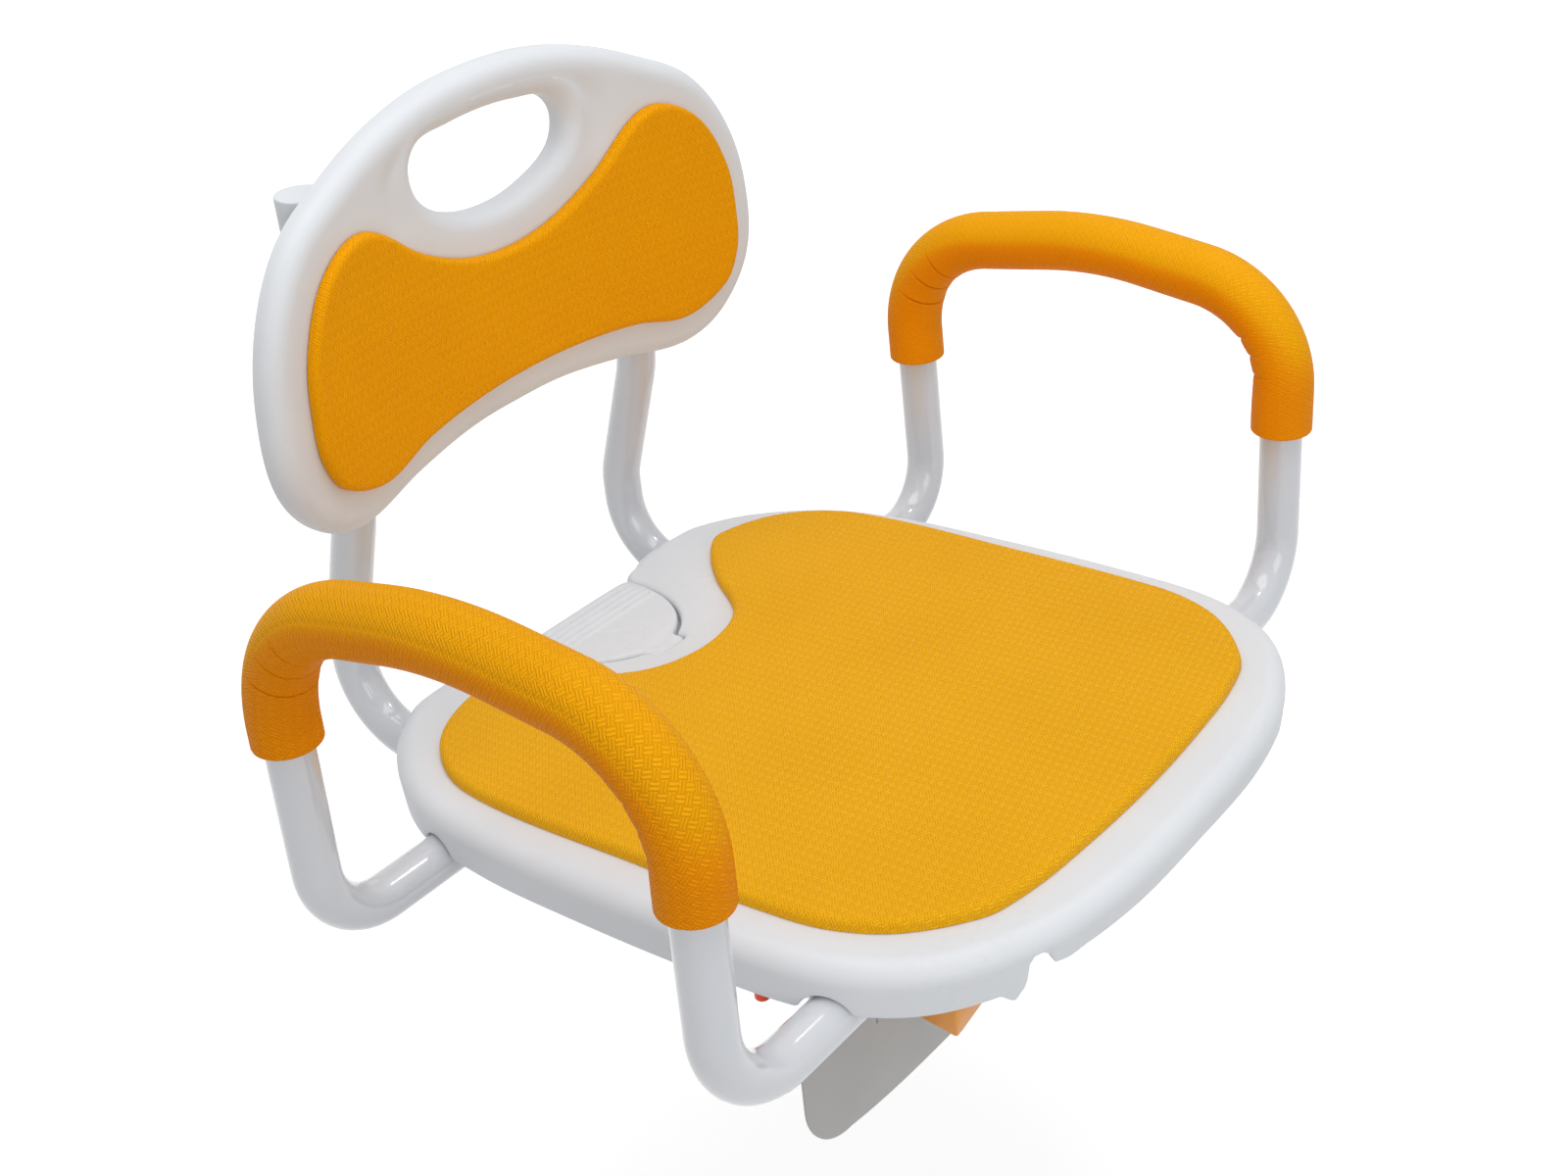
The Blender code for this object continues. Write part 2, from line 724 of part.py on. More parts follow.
def make_index_ring():
    """Build the notched ring that the latch drops into, with its screws."""
    index = add_object("index_ring", ring(HUB_RADIUS + GAP, INDEX_RADIUS, INDEX_BOTTOM, INDEX_TOP, 36), bright_steel)
    half = LATCH_NOSE_WIDTH / 2 + SLIDE_GAP
    for number in range(INDEX_NOTCHES):
        notch = box((-half, -INDEX_RADIUS - 0.01, INDEX_BOTTOM - 0.01),
                    (half, -INDEX_RADIUS + INDEX_NOTCH_DEPTH, INDEX_TOP + 0.01))
        turn = Matrix.Rotation(2 * math.pi * number / INDEX_NOTCHES, 4, "Z")
        bmesh.ops.transform(notch, matrix=turn, verts=notch.verts)
        cut(index, notch)
    screws = []
    for x, y in on_circle(INDEX_SCREW_CIRCLE, INDEX_SCREWS):
        cut(index, rod(INDEX_SCREW_RADIUS + GAP, (x, y, 0.0), 0.03))
        length = INDEX_TOP + GAP - INDEX_SCREW_END
        screws.append(screw((x, y, INDEX_TOP + GAP), "-Z", INDEX_SCREW_HEAD_RADIUS, INDEX_SCREW_HEAD_HEIGHT,
                            INDEX_SCREW_RADIUS, length))
    add_numbered("index_screw", screws, bright_steel)


def make_spindle():
    """Build the post that the seat turns about."""
    profile = [
        (SPINDLE_FLANGE_RADIUS, HUB_BOTTOM),
        (SPINDLE_FLANGE_RADIUS, HUB_BOTTOM + SPINDLE_FLANGE_THICKNESS),
        (SPINDLE_RADIUS, HUB_BOTTOM + SPINDLE_FLANGE_THICKNESS),
        (SPINDLE_RADIUS, NUT_BOTTOM + NUT_HEIGHT + SPINDLE_TAIL),
    ]
    add_object("spindle", turned(profile), bright_steel)


def make_washer_and_nut():
    """Build the washer and the nut on the spindle."""
    bore = SPINDLE_RADIUS + GAP
    washer = ring(bore, WASHER_RADIUS, WASHER_BOTTOM, WASHER_BOTTOM + WASHER_THICKNESS)
    add_object("spindle_washer", washer, bright_steel)
    nut = add_object("spindle_nut", turned([(NUT_RADIUS, NUT_BOTTOM), (NUT_RADIUS, NUT_BOTTOM + NUT_HEIGHT)], sides=6),
                     bright_steel)
    cut(nut, rod(bore, (0.0, 0.0, NUT_BOTTOM - 0.01), NUT_HEIGHT + 0.02, sides=ROUND_SIDES))


def make_turntable(seat):
    """Build the turning plate, its bushing and its bolts."""
    bore = SPINDLE_RADIUS + SLIDE_GAP + BUSHING_WALL
    plate = add_object("turntable_plate", ring(bore + GAP, TURNTABLE_RADIUS, TURNTABLE_BOTTOM, TURNTABLE_TOP),
                       bright_steel, parent=seat)
    bushing = ring(SPINDLE_RADIUS + SLIDE_GAP, bore, TURNTABLE_BOTTOM, TURNTABLE_TOP)
    add_object("pivot_bushing", bushing, black_polymer, parent=seat)
    bolts = []
    for x in (-CENTRE_RAIL_X, CENTRE_RAIL_X):
        for y in (-TURNTABLE_BOLT_Y, TURNTABLE_BOLT_Y):
            cut(plate, rod(FRAME_BOLT_RADIUS + GAP, (x, y, TURNTABLE_BOTTOM - 0.01), 0.03))
            bolts.append(screw((x, y, TURNTABLE_BOTTOM - GAP), "Z", FRAME_BOLT_HEAD_RADIUS, TURNTABLE_BOLT_HEAD,
                               FRAME_BOLT_RADIUS, TURNTABLE_BOLT_LENGTH))
    add_numbered("turntable_bolt", bolts, bright_steel, seat)


def make_centre_rails(seat):
    """Build the two bars between the turntable and the cross sockets."""
    for side, x in sides_of(CENTRE_RAIL_X):
        low = (x - CENTRE_RAIL_WIDTH / 2, ARM_FRONT - CENTRE_RAIL_OVERHANG, RAIL_BOTTOM)
        high = (x + CENTRE_RAIL_WIDTH / 2, ARM_REAR + CENTRE_RAIL_OVERHANG, RAIL_TOP)
        rail = add_object(f"centre_rail_{side}", box(low, high), bright_steel, parent=seat)
        for y in (-TURNTABLE_BOLT_Y, TURNTABLE_BOLT_Y):
            cut(rail, rod(FRAME_BOLT_RADIUS + GAP, (x, y, RAIL_BOTTOM - 0.01), TURNTABLE_BOLT_LENGTH + 0.008))
        if x < 0:
            start = (x - CENTRE_RAIL_WIDTH, FRONT_AXLE_Y, FRONT_AXLE_Z)
            cut(rail, rod(FRONT_AXLE_RADIUS + GAP, start, CENTRE_RAIL_WIDTH * 2, "X"))


def make_sockets(seat):
    """Build the cross tubes that take the arm loops, and the short ones that take the uprights."""
    inner = SOCKET_RADIUS - SOCKET_WALL
    for place, y in (("front", ARM_FRONT), ("rear", ARM_REAR)):
        path = [Vector((-SOCKET_HALF_LENGTH, y, CROSS_HEIGHT)), Vector((SOCKET_HALF_LENGTH, y, CROSS_HEIGHT))]
        socket = add_object(f"{place}_socket", pipe(path, SOCKET_RADIUS, inner, (0, 0, 1)), bright_steel, parent=seat)
        for x in (-SEAT_SCREW_X, SEAT_SCREW_X):
            cut(socket, rod(FRAME_BOLT_RADIUS + GAP, (x, y, SOCKET_BOTTOM - 0.01), 0.05))
        if place == "front":
            for x in (-GUARD_TAB_X, GUARD_TAB_X):
                cut(socket, rod(FRAME_BOLT_RADIUS + GAP, (x, y, CROSS_HEIGHT), 0.03, "Y"))
    for side, x in sides_of(UPRIGHT_X):
        start = REAR_SOCKET_BACK
        path = [Vector((x, start, CROSS_HEIGHT)), Vector((x, start + BACK_SOCKET_LENGTH, CROSS_HEIGHT))]
        add_object(f"back_socket_{side}", pipe(path, SOCKET_RADIUS, inner, (0, 0, 1)), bright_steel, parent=seat)


def make_seat_screws(seat):
    """Build the screws that come up through the sockets into the shell's bosses."""
    screws = []
    for y in (ARM_FRONT, ARM_REAR):
        for x in (-SEAT_SCREW_X, SEAT_SCREW_X):
            length = SHELL_UNDERSIDE - SOCKET_BOTTOM - 0.0040
            screws.append(screw((x, y, SOCKET_BOTTOM - GAP), "Z", FRAME_BOLT_HEAD_RADIUS, SEAT_SCREW_HEAD,
                                FRAME_BOLT_RADIUS, length))
    add_numbered("seat_screw", screws, bright_steel, seat)


def make_side_rails(seat):
    """Build the side bars that hold the arm lock buttons."""
    front = ARM_FRONT + SOCKET_RADIUS + GAP
    back = ARM_REAR - SOCKET_RADIUS - GAP
    for side, x in sides_of(SIDE_RAIL_X):
        low = (x - SIDE_RAIL_WIDTH / 2, front, SIDE_RAIL_BOTTOM)
        high = (x + SIDE_RAIL_WIDTH / 2, back, SIDE_RAIL_BOTTOM + SIDE_RAIL_HEIGHT)
        rail = add_object(f"side_rail_{side}", box(low, high), bright_steel, parent=seat)
        hole = BUTTON_DEPTH + BUTTON_TRAVEL + SLIDE_GAP + 0.01
        cut(rail, rod(BUTTON_RADIUS + SLIDE_GAP, (x, BUTTON_Y, SIDE_RAIL_BOTTOM - 0.01), hole))


def make_arm_buttons():
    """Build the two red push buttons under the side bars."""
    for side, x in sides_of(SIDE_RAIL_X):
        pivot = add_pivot(f"arm_button_axis_{side}", (x, BUTTON_Y, SIDE_RAIL_BOTTOM))
        bottom = SIDE_RAIL_BOTTOM - BUTTON_DROP
        dome = [(BUTTON_RADIUS - inward, bottom + drop) for inward, drop in rounded(BUTTON_RADIUS * 0.6)][::-1]
        profile = dome + [(BUTTON_RADIUS, SIDE_RAIL_BOTTOM + BUTTON_DEPTH)]
        add_object(f"arm_button_{side}", turned(profile, (x, BUTTON_Y, 0.0), sides=SMALL_SIDES), red_plastic,
                   (x, BUTTON_Y, SIDE_RAIL_BOTTOM), pivot)


def make_seat_shell(seat):
    """Build the moulded seat with its skirt, recess, notches and bosses."""
    outline = seat_outline()
    loops = [(SKIRT_DRAFT, SKIRT_BOTTOM)]
    loops += [(inward, SEAT_TOP - drop) for inward, drop in rounded(SHELL_EDGE_RADIUS)]
    inner = [
        (SHELL_EDGE_RADIUS, SHELL_UNDERSIDE),
        (SHELL_WALL, SHELL_UNDERSIDE - SHELL_EDGE_RADIUS + SHELL_WALL),
        (SKIRT_DRAFT + SHELL_WALL, SKIRT_BOTTOM),
    ]
    points = [[(p.x, p.y, height) for p in inset(outline, inward)] for inward, height in loops]
    hollow = [[(p.x, p.y, height) for p in inset(outline, inward)] for inward, height in inner]
    shape = bmesh.new()
    rings = [[shape.verts.new(point) for point in loop] for loop in hollow + points]
    for low, high in zip(rings, rings[1:]):
        for index in range(len(low)):
            after = (index + 1) % len(low)
            shape.faces.new((low[index], low[after], high[after], high[index]))
    shape.faces.new(rings[0])
    shape.faces.new(rings[-1])
    shell = add_object("seat_shell", shape, white_plastic, parent=seat)
    add_shell_bosses(shell)
    cut_shell(shell)


def add_shell_bosses(shell):
    """Join the screw bosses and the thicker floor of the recess on to the shell."""
    half = DISH_HALF_WIDTH + 0.010
    front = SHELL_REAR - DISH_LENGTH - 0.010
    join(shell, box((-half, front, SEAT_TOP - DISH_BACKING), (half, SHELL_REAR - 0.003, SHELL_UNDERSIDE + 0.001)))
    for y in (ARM_FRONT, ARM_REAR):
        for x in (-SEAT_SCREW_X, SEAT_SCREW_X):
            height = SHELL_UNDERSIDE - SOCKET_TOP - GAP + 0.001
            join(shell, rod(BOSS_RADIUS, (x, y, SOCKET_TOP + GAP), height))


def tongue_outline(margin=0.0):
    """Return the rear lever's outline, half an ellipse in front of a straight rear edge."""
    half = TONGUE_HALF_WIDTH + margin
    rear = TONGUE_REAR + margin
    shoulder = TONGUE_REAR - TONGUE_SIDE
    depth = shoulder - TONGUE_FRONT + margin
    points = [Vector((half, rear))]
    steps = 14
    for step in range(steps + 1):
        turn = math.pi * step / steps
        points.append(Vector((half * math.cos(turn), shoulder - depth * math.sin(turn))))
    points.append(Vector((-half, rear)))
    return points


def lip_outline():
    """Return the (x, z) outline below the front lip, with the small arch at each end of it."""
    half, arch = FRONT_LIP_HALF_WIDTH, FRONT_ARCH_HALF_WIDTH
    half_outline = [
        (half + 1.6 * arch, SKIRT_BOTTOM - 0.02),
        (half + 1.4 * arch, SKIRT_BOTTOM),
        (half + 0.8 * arch, FRONT_ARCH_TOP - 0.0040),
        (half, FRONT_ARCH_TOP),
        (half - 1.0 * arch, FRONT_ARCH_TOP - 0.0045),
        (half - 2.2 * arch, FRONT_TAB_BOTTOM + 0.0005),
        (half - 4.2 * arch, FRONT_TAB_BOTTOM),
        (half - 6.6 * arch, FRONT_LIP_BOTTOM),
    ]
    return half_outline + [(-x, height) for x, height in reversed(half_outline)]


def cut_shell(shell):
    """Cut the dish, the lever's well, the tube notches, the front lip and the screw holes."""
    centre_height = 2.0 * DISH_DEPTH
    reach = centre_height + DISH_DEPTH
    spread = math.sqrt(1 - (centre_height / reach) ** 2)
    dish = bmesh.new()
    bmesh.ops.create_uvsphere(dish, u_segments=24, v_segments=18, radius=1.0)
    bmesh.ops.scale(dish, vec=(DISH_HALF_WIDTH / spread, DISH_LENGTH / spread, reach), verts=dish.verts)
    bmesh.ops.translate(dish, vec=(0.0, SHELL_REAR, SEAT_TOP + centre_height), verts=dish.verts)
    cut(shell, dish)
    well = [(p.x, p.y) for p in tongue_outline(TONGUE_GAP)]
    well[0] = (well[0][0], SHELL_REAR + 0.02)
    well[-1] = (well[-1][0], SHELL_REAR + 0.02)
    cut(shell, extrude_z(well, REAR_LIP_TOP, SEAT_TOP + 0.02))
    notch = TUBE_RADIUS + NOTCH_GAP
    for y in (ARM_FRONT, ARM_REAR):
        cut(shell, rod(notch, (-SHELL_HALF_WIDTH - 0.02, y, CROSS_HEIGHT), 2 * SHELL_HALF_WIDTH + 0.04, "X", 24))
    for x in (-UPRIGHT_X, UPRIGHT_X):
        cut(shell, rod(notch, (x, SHELL_REAR - 0.03, CROSS_HEIGHT), 0.06, "Y", 24))
    lip = lip_outline()
    cut(shell, extrude_y(lip, SHELL_FRONT - 0.02, SHELL_FRONT + 0.05))
    for y in (ARM_FRONT, ARM_REAR):
        for x in (-SEAT_SCREW_X, SEAT_SCREW_X):
            cut(shell, rod(FRAME_BOLT_RADIUS + GAP, (x, y, SOCKET_TOP - 0.01), SHELL_UNDERSIDE - SOCKET_TOP + 0.0085))


def make_seat_pad(seat):
    """Build the moulded foam pad on the seat."""
    outline = pad_outline()
    bottom = SEAT_TOP + GAP
    top = bottom + PAD_THICKNESS
    loops = [[(p.x, p.y, bottom) for p in outline]]
    for inward, drop in rounded(PAD_EDGE_RADIUS, 2):
        loops.append([(p.x, p.y, top - drop) for p in inset(outline, inward)])
    add_object("seat_pad", loft(loops), orange_foam, parent=seat)


def arm_corners(x, foot_x):
    """Return the corners of one arm loop, front foot to rear foot."""
    return [
        (foot_x, ARM_FRONT, CROSS_HEIGHT),
        (x, ARM_FRONT, CROSS_HEIGHT),
        (x, ARM_FRONT, ARM_FRONT_TOP),
        (x, ARM_CROWN_Y, ARM_CROWN_TOP),
        (x, ARM_REAR, ARM_REAR_TOP),
        (x, ARM_REAR, CROSS_HEIGHT),
        (foot_x, ARM_REAR, CROSS_HEIGHT),
    ]


def make_arms(seat):
    """Build the two arm loops and their foam grips."""
    top_bends = [ARM_FRONT_BEND, ARM_CROWN_BEND, ARM_REAR_BEND]
    for side, x in sides_of(ARM_HALF_SPAN):
        corners = arm_corners(x, math.copysign(ARM_END, x))
        path = bent_path(corners, [ARM_FOOT_BEND] + top_bends + [ARM_FOOT_BEND])
        add_object(f"arm_tube_{side}", pipe(path, TUBE_RADIUS, TUBE_RADIUS - TUBE_WALL, (0, 1, 0)), white_coating,
                   parent=seat)
        grip_corners = corners[1:-1]
        grip_corners[0] = (x, ARM_FRONT, GRIP_BOTTOM)
        grip_corners[-1] = (x, ARM_REAR, GRIP_BOTTOM)
        grip_path = bent_path(grip_corners, top_bends)
        add_object(f"arm_grip_{side}", pipe(grip_path, GRIP_RADIUS, TUBE_RADIUS + GAP, (0, 1, 0)), orange_foam,
                   parent=seat)


def upright_y(height):
    """Return how far back an upright's centre line is, at a height on its straight top part."""
    share = (height - UPRIGHT_LEAN_Z) / (UPRIGHT_TOP - UPRIGHT_LEAN_Z)
    return UPRIGHT_Y + share * (UPRIGHT_TOP_Y - UPRIGHT_Y)


def make_uprights(seat):
    """Build the two back tubes and their end caps."""
    bends = [UPRIGHT_FOOT_BEND, UPRIGHT_LOW_BEND, UPRIGHT_HIGH_BEND]
    inner = TUBE_RADIUS - TUBE_WALL
    for side, x in sides_of(UPRIGHT_X):
        corners = [
            (x, UPRIGHT_FOOT, CROSS_HEIGHT),
            (x, UPRIGHT_BULGE_Y, CROSS_HEIGHT),
            (x, UPRIGHT_BULGE_Y, UPRIGHT_BULGE_Z),
            (x, UPRIGHT_Y, UPRIGHT_LEAN_Z),
            (x, UPRIGHT_TOP_Y, UPRIGHT_TOP),
        ]
        tube = add_object(f"back_tube_{side}", pipe(bent_path(corners, bends), TUBE_RADIUS, inner, (1, 0, 0)),
                          white_coating, parent=seat)
        for height in (BACK_SCREW_LOW_Z, BACK_SCREW_HIGH_Z):
            cut(tube, rod(FRAME_BOLT_RADIUS + GAP, (x, upright_y(height) - 0.03, height), 0.06, "Y"))
        profile = [
            (inner - GAP - 0.0004, UPRIGHT_TOP - CAP_PLUG_LENGTH),
            (inner - GAP - 0.0004, UPRIGHT_TOP + GAP),
            (CAP_RADIUS, UPRIGHT_TOP + GAP),
            (CAP_RADIUS, UPRIGHT_TOP + CAP_THICKNESS - 0.0010),
            (CAP_RADIUS - 0.0010, UPRIGHT_TOP + CAP_THICKNESS),
        ]
        cap = turned([(radius, height - UPRIGHT_TOP) for radius, height in profile], sides=24)
        lean = math.atan((UPRIGHT_Y - UPRIGHT_TOP_Y) / (UPRIGHT_TOP - UPRIGHT_LEAN_Z))
        place = Matrix.Translation((x, UPRIGHT_TOP_Y, UPRIGHT_TOP)) @ Matrix.Rotation(lean, 4, "X")
        bmesh.ops.transform(cap, matrix=place, verts=cap.verts)
        add_object(f"back_cap_{side}", cap, white_plastic, parent=seat)


def make_backrest(seat):
    """Build the curved backrest shell with its hand opening and screw bosses."""
    outline, hole = back_outline(), handle_outline()
    loops = []

    def add_loop(points, depth):
        loops.append([back_surface(p.x, p.y, depth) for p in points])

    add_loop(outline, BACK_THICKNESS)
    for inward, drop in rounded(BACK_EDGE_RADIUS, 2):
        add_loop(inset(outline, inward), drop)
    rim = inset(outline, BACK_EDGE_RADIUS)
    collar = inset(hole, -HANDLE_EDGE_RADIUS)
    shares = (0.25, 0.5, 0.75)
    for share in shares:
        add_loop(between(rim, collar, share), 0.0)
    for inward, drop in rounded(HANDLE_EDGE_RADIUS, 2)[::-1]:
        add_loop(inset(hole, -inward), drop)
    add_loop(hole, BACK_THICKNESS)
    add_loop(inset(hole, -BACK_WALL), BACK_THICKNESS)
    add_loop(inset(hole, -HANDLE_EDGE_RADIUS), BACK_WALL)
    for share in reversed(shares):
        add_loop(between(rim, collar, share), BACK_WALL)
    add_loop(inset(outline, BACK_EDGE_RADIUS), BACK_WALL)
    add_loop(inset(outline, BACK_WALL), BACK_EDGE_RADIUS)
    add_loop(inset(outline, BACK_WALL), BACK_THICKNESS)
    shell = add_object("backrest_shell", loft(loops, closed=True), white_plastic, parent=seat)
    screws = []
    for x in (-UPRIGHT_X, UPRIGHT_X):
        for height in (BACK_SCREW_LOW_Z, BACK_SCREW_HIGH_Z):
            front = back_surface(x, height, 0.5 * BACK_WALL)[1]
            seat_y = upright_y(height) - TUBE_RADIUS - CURVED_GAP
            join(shell, rod(BOSS_RADIUS, (x, front, height), seat_y - front, "Y"))
            cut(shell, rod(FRAME_BOLT_RADIUS + GAP, (x, seat_y - 0.0130, height), 0.03, "Y"))
            head = upright_y(height) + TUBE_RADIUS + CURVED_GAP
            screws.append(screw((x, head, height), "-Y", 0.0055, 0.0030, FRAME_BOLT_RADIUS, head - seat_y + 0.0110))
    add_numbered("backrest_screw", screws, bright_steel, seat)


def make_back_pad(seat):
    """Build the foam pad on the backrest's curved face."""
    outline = back_pad_outline()
    back = -CURVED_GAP
    face = back - PAD_THICKNESS
    loops = [[back_surface(p.x, p.y, back) for p in outline]]
    for inward, drop in rounded(PAD_EDGE_RADIUS, 2):
        loops.append([back_surface(p.x, p.y, face + drop) for p in inset(outline, inward)])
    add_object("backrest_pad", loft_with_columns(loops), orange_foam, parent=seat)


def loft_with_columns(loops):
    """Return a closed bmesh through loops, each end filled by columns from its top to its bottom half."""
    shape = loft(loops)
    count = len(loops[0])
    caps = [face for face in shape.faces if len(face.verts) == count]
    rings = [list(face.verts) for face in caps]
    starts = [loops[0][0], loops[-1][0]]
    bmesh.ops.delete(shape, geom=caps, context="FACES_ONLY")
    for ring_of_points in rings:
        first = min(range(count), key=lambda i: min((ring_of_points[i].co - Vector(s)).length for s in starts))
        turned_ring = ring_of_points[first:] + ring_of_points[:first]
        for index in range(-count // 4, count // 4):
            corners = []
            for place in (index, index + 1, count // 2 - index - 1, count // 2 - index):
                vertex = turned_ring[place % count]
                if vertex not in corners:
                    corners.append(vertex)
            shape.faces.new(corners)
    return shape


def make_guard(seat):
    """Build the hanging guard sheet with its slotted tabs and screws."""
    half, high, turn = GUARD_HALF_WIDTH, GUARD_TOP, GUARD_CORNER
    corner_z = GUARD_BOTTOM + GUARD_BOTTOM_BOW + turn
    flat = half - turn
    outline = [(-flat + turn * math.cos(a), corner_z + turn * math.sin(a)) for a in quarter_turn(math.pi)]
    for step in range(1, 8):
        x = -flat + 2 * flat * step / 8
        outline.append((x, GUARD_BOTTOM + GUARD_BOTTOM_BOW * abs(x / flat) ** 2.5))
    outline += [(flat + turn * math.cos(a), corner_z + turn * math.sin(a)) for a in quarter_turn(1.5 * math.pi)]
    tab = GUARD_TAB_WIDTH / 2
    outline += [(half, high)]
    for x in (GUARD_TAB_X, -GUARD_TAB_X):
        outline += [(x + tab, high), (x + tab, GUARD_TAB_TOP), (x - tab, GUARD_TAB_TOP), (x - tab, high)]
    outline += [(-half, high)]
    back = GUARD_FACE + GUARD_THICKNESS
    guard = add_object("guard_plate", extrude_y(outline, GUARD_FACE, back), grey_sheet, parent=seat)
    screws = []
    slot = GUARD_SLOT_WIDTH / 2
    for x in (-GUARD_TAB_X, GUARD_TAB_X):
        ends = [(x + slot * math.cos(a), GUARD_SLOT_TOP - slot + slot * math.sin(a)) for a in half_turn(0.0)]
        ends += [(x + slot * math.cos(a), GUARD_SLOT_BOTTOM + slot + slot * math.sin(a)) for a in half_turn(math.pi)]
        cut(guard, extrude_y(ends, GUARD_FACE - 0.01, back + 0.01))
        screws.append(screw((x, back + GAP, CROSS_HEIGHT), "-Y", 0.0060, 0.0030, 0.0025, 0.0080))
    add_numbered("guard_screw", screws, bright_steel, seat)


def half_turn(start):
    """Return angles across half a turn."""
    return [start + math.pi * step / 6 for step in range(7)]


def quarter_turn(start):
    """Return angles across a quarter turn."""
    return [start + math.pi / 2 * step / 5 for step in range(6)]


def make_front_lever(seat):
    """Build the orange front lever, its axle and its return spring."""
    pivot = add_pivot("front_lever_axis", (0.0, FRONT_AXLE_Y, FRONT_AXLE_Z))
    rail_face = -CENTRE_RAIL_X - CENTRE_RAIL_WIDTH / 2
    hub_right = rail_face - SPRING_LENGTH - 2 * GAP
    hub_left = hub_right - LEVER_HUB_LENGTH
    y, z = FRONT_AXLE_Y, FRONT_AXLE_Z
    hub = rod(LEVER_HUB_RADIUS, (hub_left, y, z), LEVER_HUB_LENGTH, "X", 20)
    lever = add_object("front_lever", hub, orange_plastic, (0.0, y, z), pivot)
    back = LEVER_FRONT + LEVER_PADDLE_DEPTH
    under = LEVER_PADDLE_TOP - LEVER_PADDLE_THICKNESS
    arm = [
        (y, z - LEVER_ARM_THICKNESS / 2),
        (y, z + LEVER_ARM_THICKNESS / 2),
        (ARM_FRONT, LEVER_ARM_TOP),
        (back - 0.004, LEVER_PADDLE_TOP - 0.001),
        (back - 0.004, under + 0.001),
        (ARM_FRONT, LEVER_ARM_TOP - LEVER_ARM_THICKNESS),
    ]
    join(lever, extrude_x(arm, hub_left, hub_left + LEVER_ARM_WIDTH))
    join(lever, paddle_shape(LEVER_FRONT, back, under))
    join(lever, extrude_x(crank_neck(y, z), ROD_X - CRANK_WIDTH / 2, ROD_X + CRANK_WIDTH / 2))
    join(lever, rod(CRANK_RADIUS, (ROD_X - CRANK_WIDTH / 2, y, ROD_HEIGHT), CRANK_WIDTH, "X"))
    cut(lever, rod(FRONT_AXLE_RADIUS + GAP, (hub_left - 0.02, y, z), LEVER_HUB_LENGTH + 0.05, "X", 16))
    axle_left = hub_left - 2 * GAP
    axle = [
        (FRONT_AXLE_RADIUS + 0.0025, axle_left - 0.0020),
        (FRONT_AXLE_RADIUS + 0.0025, axle_left),
        (FRONT_AXLE_RADIUS, axle_left),
        (FRONT_AXLE_RADIUS, rail_face + CENTRE_RAIL_WIDTH + 0.0010),
    ]
    add_object("front_lever_axle", turned(axle, (0.0, y, z), "X", 16), bright_steel, parent=seat)
    make_lever_spring(seat, rail_face - GAP, hub_right + GAP)


def crank_neck(y, top):
    """Return the (y, z) outline of the arm between a shaft and its crank pin."""
    return [(y - CRANK_NECK, ROD_HEIGHT), (y + CRANK_NECK, ROD_HEIGHT), (y + CRANK_NECK, top), (y - CRANK_NECK, top)]


def paddle_shape(front, back, under):
    """Return the finger paddle, a slab with round front corners."""
    turn = LEVER_CORNER
    outline = []
    for centre_x, start in ((LEVER_LEFT_END + turn, math.pi), (LEVER_RIGHT_END - turn, 1.5 * math.pi)):
        for step in range(4):
            angle = start + math.pi / 2 * step / 3
            outline.append((centre_x + turn * math.cos(angle), front + turn + turn * math.sin(angle)))
    outline += [(LEVER_RIGHT_END, back), (LEVER_LEFT_END + LEVER_TAPER, back)]
    return extrude_z(outline, under, LEVER_PADDLE_TOP)


def make_lever_spring(seat, right, left):
    """Build the coil that pushes the front lever down."""
    radius = FRONT_AXLE_RADIUS + SLIDE_GAP + SPRING_WIRE + 0.0010
    per_turn = 8
    count = SPRING_TURNS * per_turn
    length = right - left - 2 * SPRING_WIRE
    path = []
    for index in range(count + 1):
        turn = 2 * math.pi * index / per_turn
        x = left + SPRING_WIRE + length * index / count
        path.append(Vector((x, FRONT_AXLE_Y + radius * math.cos(turn), FRONT_AXLE_Z + radius * math.sin(turn))))
    loops = swept_loops(path, SPRING_WIRE, 6, (1, 0, 0))
    add_object("lever_spring", loft(loops), bright_steel, parent=seat)


